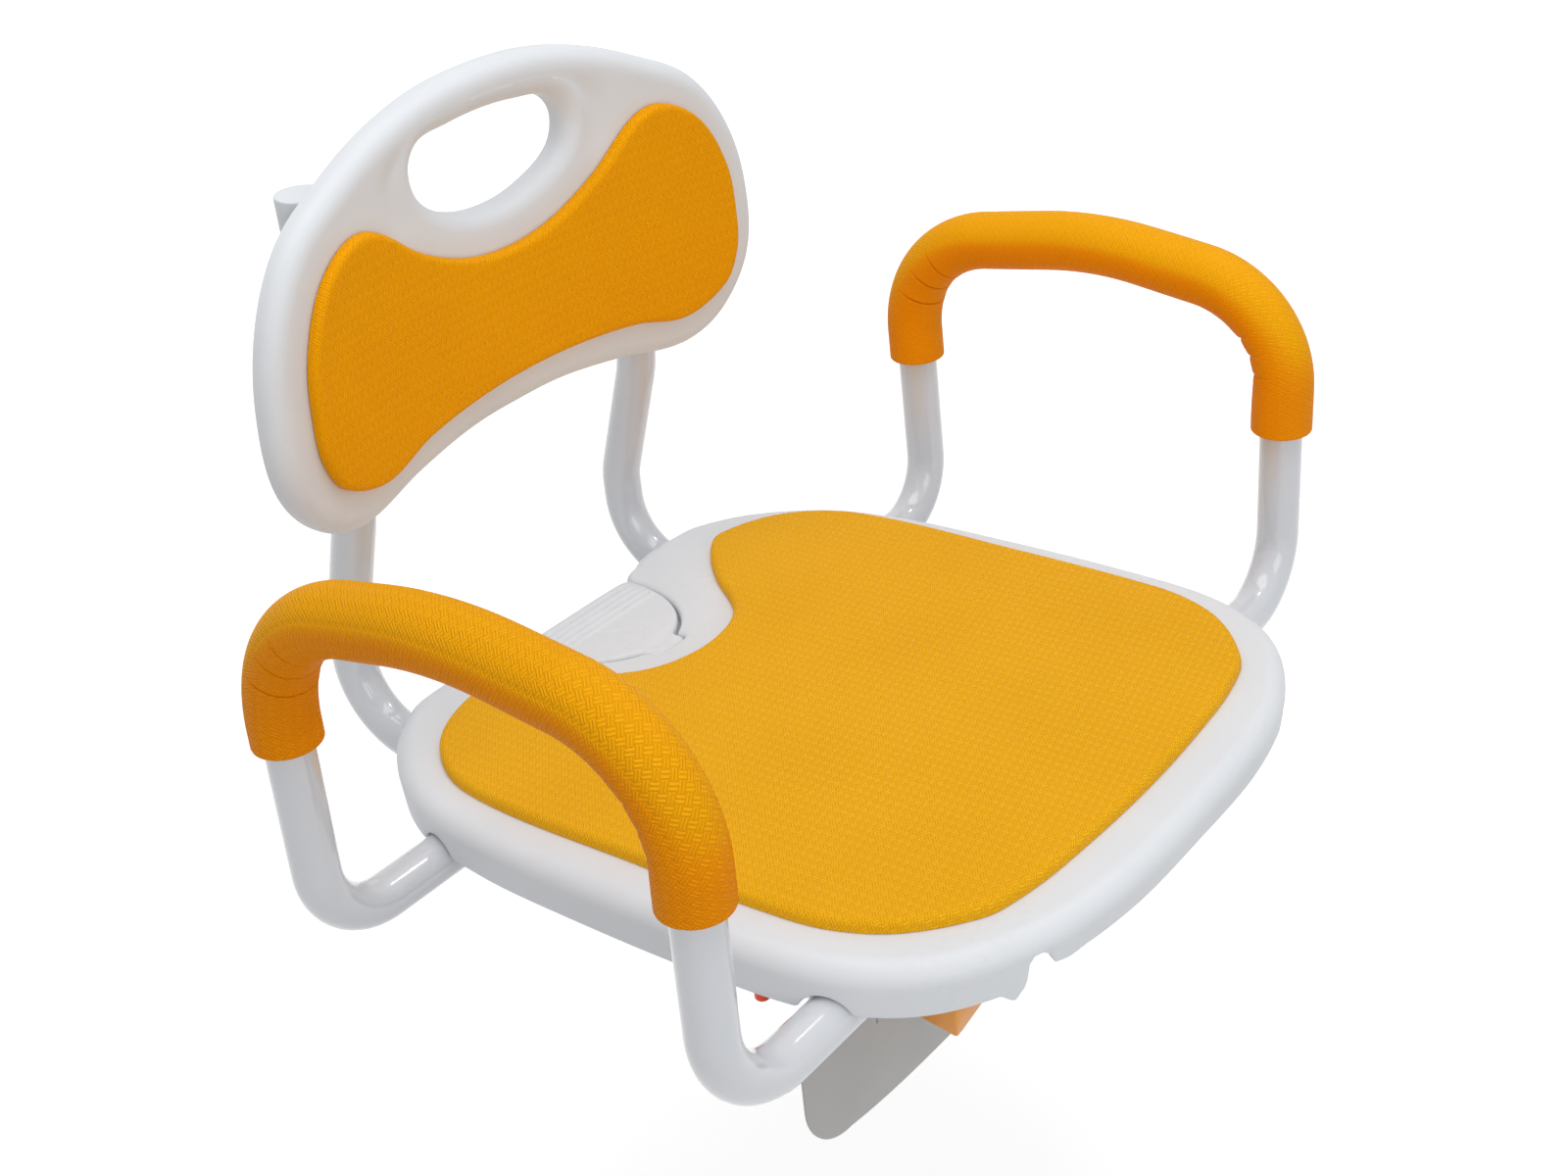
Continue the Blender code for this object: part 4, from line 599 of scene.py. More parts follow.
class SharedGroups:
    """The shader node groups, each built once."""

    STROKE_WAY = (202.0, 189.0, 0.0)
    CROSS_WAY = (-202.0, 105.6, 0.0)
    STROKE_WIDTH = 0.4

    @classmethod
    @cache
    def get(cls, kind: GroupKind) -> bpy.types.NodeTree:
        """Return a group's tree, built the first time."""
        makers = {GroupKind.STITCH: cls._stitch, GroupKind.GRAIN: cls._grain, GroupKind.WEAR: cls._wear}
        return makers[kind]()

    @staticmethod
    def _start(kind: GroupKind, values: dict[str, float], masks: Sequence[str]) -> tuple:
        """Start a group that reads a place.

        Args:
            kind: Which group.
            values: The numbers that it takes, with their first values.
            masks: The names of what it puts out.

        Returns:
            The group's tree, its input sockets and its output node's sockets.
        """
        tree = bpy.data.node_groups.new(kind.value, "ShaderNodeTree")
        tree.interface.new_socket(name="Vector", in_out="INPUT", socket_type="NodeSocketVector")
        for label, value in values.items():
            socket = tree.interface.new_socket(name=label, in_out="INPUT", socket_type="NodeSocketFloat")
            socket.default_value = value
        for label in masks:
            tree.interface.new_socket(name=label, in_out="OUTPUT", socket_type="NodeSocketFloat")
        shader = ShaderTree(tree)
        return shader, shader.node("NodeGroupInput").outputs, shader.node("NodeGroupOutput").inputs

    @classmethod
    def _stitch(cls) -> bpy.types.NodeTree:
        """Build a skewed basket weave: pairs of raised strokes lying along one way, then the other, with a
        mask of painted shade for the furrows between them.

        Returns:
            The group's tree.
        """
        shader, given, result = cls._start(GroupKind.STITCH, {"Size": 1.0}, ("Height", "Furrow"))
        inputs = {0: given["Vector"], "Scale": given["Size"]}
        sized = shader.node("ShaderNodeVectorMath", inputs, operation="SCALE").outputs[0]
        dots = [shader.node("ShaderNodeVectorMath", {0: sized, 1: way}, operation="DOT_PRODUCT")
                for way in (cls.STROKE_WAY, cls.CROSS_WAY)]
        places = [dot.outputs["Value"] for dot in dots]
        cells = [shader.math("ROUND", place) for place in places]
        both = shader.math("ADD", *cells)
        turned_cell = shader.math("GREATER_THAN", shader.math("FLOORED_MODULO", both, 2.0), 0.5)
        parts = [shader.math("ABSOLUTE", shader.math("SUBTRACT", *pair)) for pair in zip(places, cells)]
        along = shader.choice(turned_cell, *parts)
        across = shader.choice(turned_cell, *parts[::-1])
        half = cls.STROKE_WIDTH / 2

        def stroke(reach: Socket, width: Socket) -> Socket:
            """Return how far a point is inside a stroke, from its end's reach and its block's side."""
            side = shader.math("ABSOLUTE", shader.math("SUBTRACT", width, half))
            return shader.math("MINIMUM", shader.math("SUBTRACT", half, side), reach)

        own = stroke(shader.math("SUBTRACT", 3 * half, along), across)
        neighbour = stroke(shader.math("SUBTRACT", across, cls.STROKE_WIDTH), along)
        edge = shader.choice(shader.math("GREATER_THAN", across, cls.STROKE_WIDTH), own, neighbour)
        shader.link(shader.ramp(edge, 0.0, 0.17), result["Height"])
        # Painted shade mask: 1 in the furrows between strokes, whose colour is darkened.
        shader.link(shader.ramp(edge, -0.01, 0.07, 1.0, 0.0), result["Furrow"])
        return shader.tree

    @classmethod
    def _grain(cls) -> bpy.types.NodeTree:
        """Build fine moulded grain with a slow swell under it.

        Returns:
            The group's tree.
        """
        scales = {"Fine": 1500.0, "Slow": 12.0}
        shader, given, result = cls._start(GroupKind.GRAIN, scales, ("Height", "Cloud"))
        for scale, detail, mask in (("Fine", 2.0, "Height"), ("Slow", 3.0, "Cloud")):
            shader.link(shader.noise(given["Vector"], given[scale], detail), result[mask])
        return shader.tree

    @classmethod
    def _wear(cls) -> bpy.types.NodeTree:
        """Build a sparse mask of light scuffs and settled dust.

        Returns:
            The group's tree.
        """
        shader, given, result = cls._start(GroupKind.WEAR, {"Amount": 0.3}, ("Mask",))
        patches = shader.noise(given["Vector"], 9.0, 4.0)
        streaks = shader.noise(given["Vector"], 220.0)
        both = shader.math("MULTIPLY", shader.ramp(patches, 0.50, 0.72), shader.ramp(streaks, 0.48, 0.70))
        shader.link(shader.math("MULTIPLY", both, given["Amount"]), result["Mask"])
        return shader.tree


@dataclass(frozen=True)
class Finish:
    """One surface finish: its colours and its gloss, with the grain that all finishes have."""

    slot: Slot
    colour: Colour
    second: Colour
    roughness: float
    label: str = ""
    specular: float = 0.5
    metallic: float = 0.0
    coat: float = 0.0
    coat_roughness: float = 0.08
    grain_depth: float = 0.00003
    grain_scale: float = 1500.0
    cloud_scale: float = 12.0
    wear: float = 0.15
    worn: Colour = (0.62, 0.62, 0.60)

    @cache
    def material(self) -> bpy.types.Material:
        """Make the finish's material, once.

        Returns:
            The material.
        """
        made = bpy.data.materials.new("finish")
        made.name = self.label or self.slot.value
        made.use_nodes = True
        made.diffuse_color = opaque(self.colour)
        surface = made.node_tree.nodes["Principled BSDF"].inputs
        for name, value in (("Metallic", self.metallic), ("Coat Weight", self.coat),
                            ("Coat Roughness", self.coat_roughness), ("Specular IOR Level", self.specular)):
            surface[name].default_value = value
        self.dress(ShaderTree(made.node_tree), surface)
        return made

    def dress(self, shader: ShaderTree, surface: bpy.types.NodeInputs) -> None:
        """Join the finish's pattern to its shader.

        Args:
            shader: The material's tree.
            surface: The inputs of the material's shader node.
        """
        vector = shader.node("ShaderNodeTexCoord").outputs["Object"]
        grain, clouded = self.clouded(shader, vector)
        mask = shader.group(GroupKind.WEAR, vector, Amount=self.wear).outputs["Mask"]
        shader.link(shader.mixed(mask, clouded, self.worn), surface["Base Color"])
        rough = shader.ramp(grain["Cloud"], 0.25, 0.75, self.roughness - 0.03, self.roughness + 0.04)
        shader.link(shader.math("ADD", rough, shader.math("MULTIPLY", mask, 0.25)), surface["Roughness"])
        shader.link(shader.bump(grain["Height"], self.grain_depth), surface["Normal"])

    def clouded(self, shader: ShaderTree, vector: Socket) -> tuple[bpy.types.NodeOutputs, Socket]:
        """Return the grain group's outputs, and the colour with its slow change."""
        grain = shader.group(GroupKind.GRAIN, vector, Fine=self.grain_scale, Slow=self.cloud_scale).outputs
        return grain, shader.mixed(shader.ramp(grain["Cloud"], 0.30, 0.70), self.colour, self.second)


@dataclass(frozen=True)
class FoamFinish(Finish):
    """Closed-cell foam with an embossed basket weave, read from the piece's own UV map."""

    stitch_size: float = 1.0
    stitch_depth: float = 0.00028
    # Painted shade: a darker orange laid into the emboss's furrows.
    furrow: Colour = (0.62, 0.19, 0.000)
    painted_furrow_shade_share: float = 0.42
    furrow_roughness: float = 0.16
    # Painted light on upturned faces and painted shade in creases, chosen by the mesh's point attribute.
    painted_top_light: Colour = (0.915, 0.405, 0.002)
    painted_crease_shade: Colour = (0.360, 0.090, 0.000)

    def dress(self, shader: ShaderTree, surface: bpy.types.NodeInputs) -> None:
        """Join the emboss, the painted light on upturned faces, the painted shade in the creases and the
        painted shade in the furrows to the shader.

        Args:
            shader: The material's tree.
            surface: The inputs of the material's shader node.
        """
        place = shader.node("ShaderNodeTexCoord").outputs
        stitch = shader.group(GroupKind.STITCH, place["UV"], Size=self.stitch_size).outputs
        grain, clouded = self.clouded(shader, place["Object"])
        # The point attribute paints light on upturned faces (up to 1) and shade in creases (down to -1).
        painted_light_shade = shader.node("ShaderNodeAttribute", attribute_name="painted_light_shade").outputs["Fac"]
        painted_top_light = shader.mixed(shader.ramp(painted_light_shade, 0.0, 1.0), clouded, self.painted_top_light)
        dark = shader.ramp(shader.math("MULTIPLY", painted_light_shade, -1.0), 0.0, 1.0)
        painted_crease_shade = shader.mixed(dark, painted_top_light, self.painted_crease_shade)
        # Painted shade in the emboss's furrows.
        share = shader.math("MULTIPLY", stitch["Furrow"], self.painted_furrow_shade_share)
        shader.link(shader.mixed(share, painted_crease_shade, self.furrow), surface["Base Color"])
        low = self.roughness + self.furrow_roughness
        shader.link(shader.ramp(stitch["Height"], 0.0, 1.0, low, self.roughness), surface["Roughness"])
        fine = shader.bump(grain["Height"], self.grain_depth)
        shader.link(shader.bump(stitch["Height"], self.stitch_depth, fine), surface["Normal"])


WHITE_MOULDING = Finish(Slot.MOULDING, (0.752, 0.775, 0.806), (0.732, 0.755, 0.786), 0.46, specular=0.28,
                        grain_depth=0.00002)
# One orange foam in three copies: the back pad and the grips get a redder, deeper orange than the seat,
# painted shade for faces that the lamps light less.
SEAT_FOAM = FoamFinish(Slot.FOAM, (0.975, 0.492, 0.009), (0.945, 0.472, 0.007), 0.50, "orange_foam_seat",
                       specular=0.09, grain_depth=0.00002, stitch_depth=0.00048, painted_furrow_shade_share=0.28)
BACK_FOAM_PAINTED_SHADE = FoamFinish(Slot.FOAM, (1.000, 0.418, 0.000), (0.970, 0.398, 0.000), 0.50, "orange_foam_back",
                       specular=0.06, grain_depth=0.00002, stitch_depth=0.00036, painted_furrow_shade_share=0.34)
GRIP_FOAM_PAINTED_SHADE = FoamFinish(Slot.FOAM, (0.940, 0.300, 0.000), (0.910, 0.282, 0.000), 0.46, "orange_foam_grip",
                       specular=0.06, grain_depth=0.00002, stitch_depth=0.00042, painted_furrow_shade_share=0.45)
SOFT_GRIP_FOAM_PAINTED_SHADE = replace(GRIP_FOAM_PAINTED_SHADE, label="orange_foam_soft_grip", stitch_depth=0.00020, painted_furrow_shade_share=0.28)
WHITE_COATING = Finish(Slot.COATING, (0.650, 0.670, 0.708), (0.630, 0.650, 0.688), 0.17, coat=0.5,
                       grain_depth=0.00001, grain_scale=400.0, wear=0.05)
BRIGHT_STEEL = Finish(Slot.STEEL, (0.56, 0.57, 0.58), (0.46, 0.47, 0.48), 0.34, metallic=1.0, wear=0.4,
                      worn=(0.30, 0.29, 0.28))
BLACK_POLYMER = Finish(Slot.POLYMER, (0.030, 0.030, 0.033), (0.022, 0.022, 0.024), 0.48,
                       worn=(0.08, 0.08, 0.08))
GREY_SHEET = Finish(Slot.SHEET, (0.450, 0.441, 0.430), (0.428, 0.418, 0.408), 0.50, worn=(0.56, 0.55, 0.54))
ORANGE_LEVER = Finish(Slot.LEVER, (0.860, 0.350, 0.060), (0.820, 0.310, 0.020), 0.30, cloud_scale=40.0)
RED_BUTTON = Finish(Slot.BUTTON, (0.960, 0.085, 0.024), (0.920, 0.078, 0.020), 0.32, specular=0.3)


def fasten(piece: Object, finish: Finish, body: Body, *nodes: str) -> None:
    """Finish a piece and fasten it to its body.

    Args:
        piece: The piece, in place.
        finish: Its surface finish.
        body: The body that it rides on.
        nodes: The CAD nodes that it stands for.
    """
    piece.data.materials.clear()
    piece.data.materials.append(finish.material())
    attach(piece, body.value)
    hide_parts(*nodes)
    log.info("%s: %d faces on %s", piece.name, len(piece.data.polygons), body.value)


class GeometryTree(NodeTools):
    """A Geometry Nodes tree with named inputs."""

    KINDS = {float: "NodeSocketFloat", int: "NodeSocketInt", tuple: "NodeSocketVector"}

    def __init__(self, name: str, values: dict[str, float | int | Point]) -> None:
        """Start a tree.

        Args:
            name: The tree's name.
            values: The inputs, with their first values, beside the geometry and the material.
        """
        super().__init__(bpy.data.node_groups.new(name, "GeometryNodeTree"))
        sockets = self.tree.interface
        sockets.new_socket(name="Geometry", in_out="INPUT", socket_type="NodeSocketGeometry")
        sockets.new_socket(name="Geometry", in_out="OUTPUT", socket_type="NodeSocketGeometry")
        material = sockets.new_socket(name="Material", in_out="INPUT", socket_type="NodeSocketMaterial")
        self.names = {"Material": material.identifier}
        for label, value in values.items():
            socket = sockets.new_socket(name=label, in_out="INPUT", socket_type=self.KINDS[type(value)])
            socket.default_value = value
            self.names[label] = socket.identifier
        self.given = self.node("NodeGroupInput").outputs

    def step(self, kind: str, inputs: dict) -> Socket:
        """Return the result of a geometry node."""
        return self.node(f"GeometryNode{kind}", inputs).outputs[0]

    def finish(self, geometry: Socket) -> None:
        """End the tree in Realize Instances and Set Material."""
        realized = self.step("RealizeInstances", {"Geometry": geometry})
        coloured = self.step("SetMaterial", {"Geometry": realized, "Material": self.given["Material"]})
        self.node("NodeGroupOutput", {"Geometry": coloured})

    def apply(self, item: Object, finish: Finish, values: dict[str, object]) -> Object:
        """Run the tree on an object.

        Args:
            item: The object whose mesh is the tree's geometry.
            finish: The surface finish of what the tree makes.
            values: The inputs' values, by name.

        Returns:
            A plain mesh object of the same name.
        """
        modifier = item.modifiers.new("nodes", "NODES")
        modifier.node_group = self.tree
        for name, value in {**values, "Material": finish.material()}.items():
            modifier[self.names[name]] = value
        item.update_tag()
        bpy.context.view_layer.update()
        made = baked(item)
        tidy_mesh(made.data)
        return made


def points_object(name: str, points: Iterable[Place], chain: bool = False) -> Object:
    """Make an object of bare points.

    Args:
        name: The object's name.
        points: The points' places.
        chain: Whether the points are joined into a line.

    Returns:
        The object.
    """
    data = MeshData()
    numbers = data.add_points(points)
    edges = list(zip(numbers, numbers[1:])) if chain else []
    mesh = bpy.data.meshes.new(name)
    mesh.from_pydata(data.vertices, edges, [])
    return placed(name, mesh)


class BentTubes:
    """Coated tubes swept along their bends by one Geometry Nodes tree."""

    def __init__(self) -> None:
        """Build the tree: a line, a round profile along it and closed ends."""
        self.tree = tree = GeometryTree("bent_tube", {"Radius": FRAME.tube_radius, "Sides": 40})
        line = tree.step("MeshToCurve", {"Mesh": tree.given["Geometry"]})
        circle = {"Resolution": tree.given["Sides"], "Radius": tree.given["Radius"]}
        sweep = {"Curve": line, "Profile Curve": tree.step("CurvePrimitiveCircle", circle), "Fill Caps": True}
        tree.finish(tree.step("CurveToMesh", sweep))

    def make(self, name: str, path: Array, node: str) -> None:
        """Make one tube.

        Args:
            name: The piece's name.
            path: The tube's centre line.
            node: The CAD node that it stands for.
        """
        made = self.tree.apply(points_object(name, path, chain=True), WHITE_COATING, {})
        fasten(made, WHITE_COATING, Body.SEAT, node)


@dataclass(frozen=True)
class ArmLoop:
    """One armrest: a bent tube and the foam grip on its top."""

    side: Side
    half_span: float = 0.2900
    foot_span: float = 0.2922
    crown_bend: float = 0.2500
    end: float = 0.1600
    grip_radius: float = 0.0190
    grip_level: float = 0.1850
    grip_sides: int = 96
    bore_depth: float = 0.0120
    ring_spacing: float = 0.0018
    fine_spacing: float = 0.0003
    fine_reach: float = 0.0027
    closest: float = 0.00012
    end_round: float = 0.0016
    front_creases: tuple[float, ...] = (0.0355, 0.0516, 0.0670)
    rear_creases: tuple[float, ...] = (0.0505, 0.0685, 0.0862)
    front_depth: float = 0.0021
    rear_depth: float = 0.0015
    front_width: float = 0.0019
    rear_width: float = 0.0007
    line_depth: float = 0.0004
    line_width: float = 0.0006
    rear_bow: float = 0.0010
    front_squeeze: float = 0.0024
    rear_squeeze: float = 0.0014
    squeeze_reach: float = 0.0280
    seam_angle: float = math.radians(247)
    seam_depth: float = 0.0005
    seam_width: float = 0.0008
    wave_depth: float = 0.00012
    wave_length: float = 0.0170
    # How wide and how strong the painted shade in the creases is.
    dark_width: float = 0.0008
    painted_crease_shade_strength: float = 0.5

    @property
    def x(self) -> float:
        """Where the loop's plane is."""
        return self.side.value * self.half_span

    @property
    def tops(self) -> tuple[Flat, Flat, Flat]:
        """The (y, height) of the loop's upper corners, which differ a little from side to side."""
        if self.side is Side.LEFT:
            return (-0.1330, 0.2655), (-0.0020, 0.2868), (0.1448, 0.2675)
        return (-0.1304, 0.2691), (0.0063, 0.2886), (0.1392, 0.2660)

    @property
    def bends(self) -> tuple[float, ...]:
        """The bend radii from the front foot to the rear foot."""
        if self.side is Side.LEFT:
            return 0.0440, 0.0660, self.crown_bend, 0.0720, 0.0430
        return 0.0510, 0.0700, self.crown_bend, 0.0800, 0.0420

    @property
    def bottoms(self) -> tuple[float, float]:
        """The heights of the grip's front and rear ends."""
        return (0.1795, 0.1825) if self.side is Side.LEFT else (0.1882, 0.1885)

    def corners(self) -> list[Point]:
        """Place the tube's corners.

        Returns:
            The corners, from the front foot to the rear foot.
        """
        foot, outer, low = self.side.value * self.end, self.side.value * self.foot_span, FRAME.cross_height
        tops = [(self.x, y, height) for y, height in self.tops]
        front, rear = FRAME.arm_front, FRAME.arm_rear
        return [(foot, front, low), (outer, front, low), *tops, (outer, rear, low), (foot, rear, low)]

    def on_leg(self, low: Point, high: Point, height: float) -> Point:
        """Return the place at a height on a leg between two corners."""
        share = (height - low[2]) / (high[2] - low[2])
        return (low[0] + share * (high[0] - low[0]), low[1] + share * (high[1] - low[1]), height)

    def build_tube(self, tubes: BentTubes) -> None:
        """Make the coated tube."""
        word = self.side.word
        tubes.make(f"arm_loop_{word}", rounded_path(self.corners(), self.bends), f"arm_tube_{word}")

    def grip_path(self) -> tuple[Array, Array]:
        """Lay the grip's rings along the tube, finest at the creases and the ends.

        Returns:
            The rings' middles, and how far along the grip each lies.
        """
        corners = self.corners()[1:-1]
        corners[0] = self.on_leg(corners[0], corners[1], self.bottoms[0])
        corners[-1] = self.on_leg(corners[-1], corners[-2], self.bottoms[1])
        path = rounded_path(corners, self.bends[1:-1], math.radians(1))
        reach = reach_along(path)
        stations = [np.arange(0.0, reach[-1], self.ring_spacing), [reach[-1]]]
        for middle in np.ravel(self.creases(reach[-1])):
            stations.append(np.arange(middle - self.fine_reach, middle + self.fine_reach, self.fine_spacing))
        for end in (0.0, reach[-1] - self.end_round):
            stations.append(np.linspace(end, end + self.end_round, 7))
        at = np.unique(np.round(np.concatenate(stations), 6))
        at = at[np.concatenate([[True], np.diff(at) > self.closest])]
        return np.column_stack([np.interp(at, reach, path[:, axis]) for axis in range(3)]), at

    def creases(self, total: float) -> tuple[list[float], list[float]]:
        """Return where the front and the rear creases lie along a grip of a given length."""
        front = [at + self.grip_level - self.bottoms[0] for at in self.front_creases]
        return front, [total - at - self.grip_level + self.bottoms[1] for at in self.rear_creases]

    @staticmethod
    def from_inside(angles: Array) -> Array:
        """Return how far round the grip each angle is from the loop's inside, as a row."""
        return np.abs(np.angle(np.exp(1j * angles)))[None, :]

    def grip_radii(self, reach: Array, angles: Array) -> Array:
        """Work out the grip's radius by ring and angle, where angle 0 faces the loop's inside.

        Args:
            reach: How far along the grip each ring lies.
            angles: The angles round a ring.

        Returns:
            The radii.
        """
        total = float(reach[-1])
        front_creases, rear_creases = self.creases(total)
        reach = reach[:, None]
        radii = np.full((len(reach), len(angles)), self.grip_radius)
        turn = self.from_inside(angles)
        share = 1.0 - smooth_step((turn - math.radians(60)) / math.radians(62))
        deep = 1.0 - smooth_step(turn / math.radians(85))
        pitch = self.front_creases[1] - self.front_creases[0]
        for at in front_creases:
            sink = np.exp(-np.abs((reach - at) / self.front_width) ** 1.4)
            line = np.exp(-(((reach - at) / self.line_width) ** 2))
            swell = np.exp(-(((reach - at - pitch / 2) / (0.42 * pitch)) ** 2))
            radii += self.front_depth * (0.16 * swell - sink) * deep - self.line_depth * line * share
        squeezes = ((np.mean(front_creases), self.front_squeeze), (np.mean(rear_creases), self.rear_squeeze))
        for middle, depth in squeezes:
            radii -= depth * deep * np.exp(-(((reach - middle) / self.squeeze_reach) ** 2))
        for at in rear_creases:
            place = at + self.rear_bow * np.cos(turn)
            sink = np.exp(-np.abs((reach - place) / self.rear_width) ** 1.3)
            lip = np.exp(-(((reach - place) / (4.5 * self.rear_width)) ** 2))
            radii += self.rear_depth * (0.22 * lip - sink) * share
        off_seam = np.angle(np.exp(1j * (angles + self.side.value * self.seam_angle)))
        radii -= self.seam_depth * np.exp(-((off_seam * self.grip_radius / self.seam_width) ** 2))[None, :]
        wave = self.wave_depth * np.sin(reach / self.wave_length) * np.cos(2 * angles)[None, :]
        from_end = np.clip(np.minimum(reach, total - reach) / self.end_round, 0, 1)
        return radii + wave - self.end_round * (1 - np.sqrt(1 - (1 - from_end) ** 2))

    def grip_painted_light_shades(self, reach: Array, angles: Array, upward: Array) -> Array:
        """Work out the painted light on the grip's upturned faces and the painted shade in its creases.

        Args:
            reach: How far along the grip each ring lies.
            angles: The angles round a ring.
            upward: How far up each point faces, by ring and angle.

        Returns:
            A value for each point, from 1 where painted light falls on an upturned face to -1 where painted
            shade fills a crease.
        """
        turn = self.from_inside(angles)
        # Painted shade along each crease, strongest on the loop's inner side.
        dark = np.zeros_like(upward)
        for places, widest in zip(self.creases(float(reach[-1])), (85, 122)):
            share = 1.0 - smooth_step((turn - math.radians(widest - 40)) / math.radians(40))
            for at in places:
                away = (reach[:, None] - at - self.rear_bow * np.cos(turn)) / self.dark_width
                dark = np.maximum(dark, share * np.exp(-(away**2)))
        # Painted light: faces that turn up get a lighter orange.
        painted_top_light = smooth_step((upward + 0.10) / 0.60)
        return (painted_top_light * (1.0 - dark) - self.painted_crease_shade_strength * dark).ravel()

    def build_grip(self) -> None:
        """Make the foam grip with its creases, its seam and its open ends."""
        path, reach = self.grip_path()
        angles = full_turn(self.grip_sides)
        tangent = np.gradient(path, reach, axis=0)
        tangent /= np.linalg.norm(tangent, axis=1, keepdims=True)
        across = np.array([1.0, 0.0, 0.0])
        inward = np.cross(tangent, across)
        flip = np.sign(np.sum(inward * (path.mean(0) - path), axis=1))
        inward *= np.where(np.median(flip) < 0, -1.0, 1.0)
        outwards = np.cos(angles)[:, None] * inward[:, None] + np.sin(angles)[:, None] * across
        data = MeshData()
        for place, facing, radius in zip(path, outwards, self.grip_radii(reach, angles)):
            data.add_ring(place + radius[:, None] * facing)
        around = self.grip_radius * np.append(angles, math.tau)
        ends = (data.rings[0], data.rings[-1])
        data.join_rings(uv=np.stack(np.meshgrid(reach, around, indexing="ij"), axis=-1))
        for ring, end, way in zip(ends, (0, -1), (1.0, -1.0)):
            hole = path[end] + (FRAME.tube_radius + FRAME.gap) * outwards[end]
            lip, deep = data.add_points(hole), data.add_points(hole + way * self.bore_depth * tangent[end])
            data.bridge([ring, lip, deep])
        # Painted light on upturned faces and painted shade in the creases, kept on the mesh.
        painted_light_shades = self.grip_painted_light_shades(reach, angles, outwards[:, :, 2])
        grip = data.build(f"arm_foam_{self.side.word}", with_uv=True, painted_light_shades=painted_light_shades)
        finish = GRIP_FOAM_PAINTED_SHADE if self.side is Side.RIGHT else SOFT_GRIP_FOAM_PAINTED_SHADE
        fasten(grip, finish, Body.SEAT, f"arm_grip_{self.side.word}")


@dataclass(frozen=True)
class Uprights:
    """The two back tubes and their end caps."""

    y: float = 0.2600
    top_y: float = 0.2482
    bulge_y: float = 0.2890
    bulge_z: float = 0.1320
    lean_z: float = 0.2180
    top: float = 0.4080
    foot: float = 0.1650
    bends: tuple[float, float, float] = (0.0480, 0.0520, 0.0700)
    cap_radius: float = 0.0153
    cap_thickness: float = 0.0082
    cap_skirt: float = 0.0180
    cap_round: float = 0.0010

    def place_at(self, height: float) -> float:
        """Return how far back the centre line is at a height on the straight top part."""
        share = (height - self.lean_z) / (self.top - self.lean_z)
        return self.y + share * (self.top_y - self.y)

    def build(self, tubes: BentTubes) -> None:
        """Make both tubes and both caps.

        Args:
            tubes: What sweeps them.
        """
        low = FRAME.cross_height
        line = ((self.foot, low), (self.bulge_y, low), (self.bulge_y, self.bulge_z), (self.y, self.lean_z),
                (self.top_y, self.top))
        for side in Side:
            x = side.value * FRAME.upright_x
            path = rounded_path([(x, y, height) for y, height in line], self.bends)
            tubes.make(f"back_upright_{side.word}", path, f"back_tube_{side.word}")
            self.build_cap(side, x)

    def build_cap(self, side: Side, x: float) -> None:
        """Make one tapered cap over the tube's end, leaning with its tube.

        Args:
            side: The cap's side.
            x: Where its tube is.
        """
        bore, skirt, top = FRAME.tube_radius + 0.0001, -self.cap_skirt, self.cap_thickness
        profile = [(bore, 0.0001), (bore, skirt), (bore + 0.0007, skirt), (bore + 0.0011, skirt + 0.0012)]
        profile += [(self.cap_radius - inset, top - drop) for inset, drop in quarter(self.cap_round, 5)]
        profile += [(0.55 * self.cap_radius, top - 0.0002), (0.0, top - 0.0004)]
        lean = math.atan((self.y - self.top_y) / (self.top - self.lean_z))
        data = MeshData()
        place = Matrix.Translation((x, self.top_y, self.top)) @ Matrix.Rotation(lean, 4, "X")
        data.add_turned(profile, 56, place)
        fasten(data.build(f"back_plug_{side.word}"), WHITE_MOULDING, Body.SEAT, f"back_cap_{side.word}")


@dataclass(frozen=True)
class Pad:
    """A moulded foam pad on a face: an outline, a rounded edge and a slightly crowned top."""

    name: str
    node: str
    outline: Array
    place: Callable[[Array, Array], Array]
    finish: FoamFinish
    quarter_turned: bool = False
    thickness: float = 0.0072
    edge: float = 0.0042
    edge_steps: int = 6
    crown: float = 0.0004
    crown_reach: float = 0.030
    spacing: float = 0.0050

    def build(self) -> None:
        """Make the pad with a UV map that runs on over its edge."""
        loop = self.outline
        normal = outward(loop)
        data = MeshData()
        levels = [(0.0, 0.0)]
        levels += [(inset, self.thickness - drop) for inset, drop in quarter(self.edge, self.edge_steps)]
        maps = []
        run = self.thickness - self.edge + self.edge * math.pi / 2
        for last, level in zip(levels[:1] + levels, levels):
            run -= math.dist(last, level)
            data.add_ring(self.place(loop - normal * level[0], level[1]))
            spread = loop - normal * (self.edge - run)
            maps.append(self.mapped(np.vstack([spread, spread[:1]])))
        data.join_rings(uv=np.array(maps))
        self.fill(data, loop - normal * self.edge, self.thickness)
        self.fill(data, loop, 0.0)
        pad = data.build(self.name, with_uv=True)
        fasten(pad, self.finish, Body.SEAT, self.node)

    def mapped(self, flat: Array) -> Array:
        """Return the UV places of flat points, turned with the sheet that the pad is cut from."""
        return np.column_stack([-flat[:, 1], flat[:, 0]]) if self.quarter_turned else flat

    def fill(self, data: MeshData, loop: Array, height: float) -> None:
        """Close the pad's top or its bottom with an even sheet.

        Args:
            data: The pad's mesh.
            loop: The sheet's edge.
            height: The sheet's height over the face, 0 for the bottom.
        """
        flat, faces = sheet_triangles(loop, self.spacing)
        heights = np.full(len(flat), height)
        if height > 0:
            heights += self.crown * smooth_step(distance_to(flat, loop[::3]) / self.crown_reach)
        data.add_sheet(self.place(flat, heights), faces, self.mapped(flat))


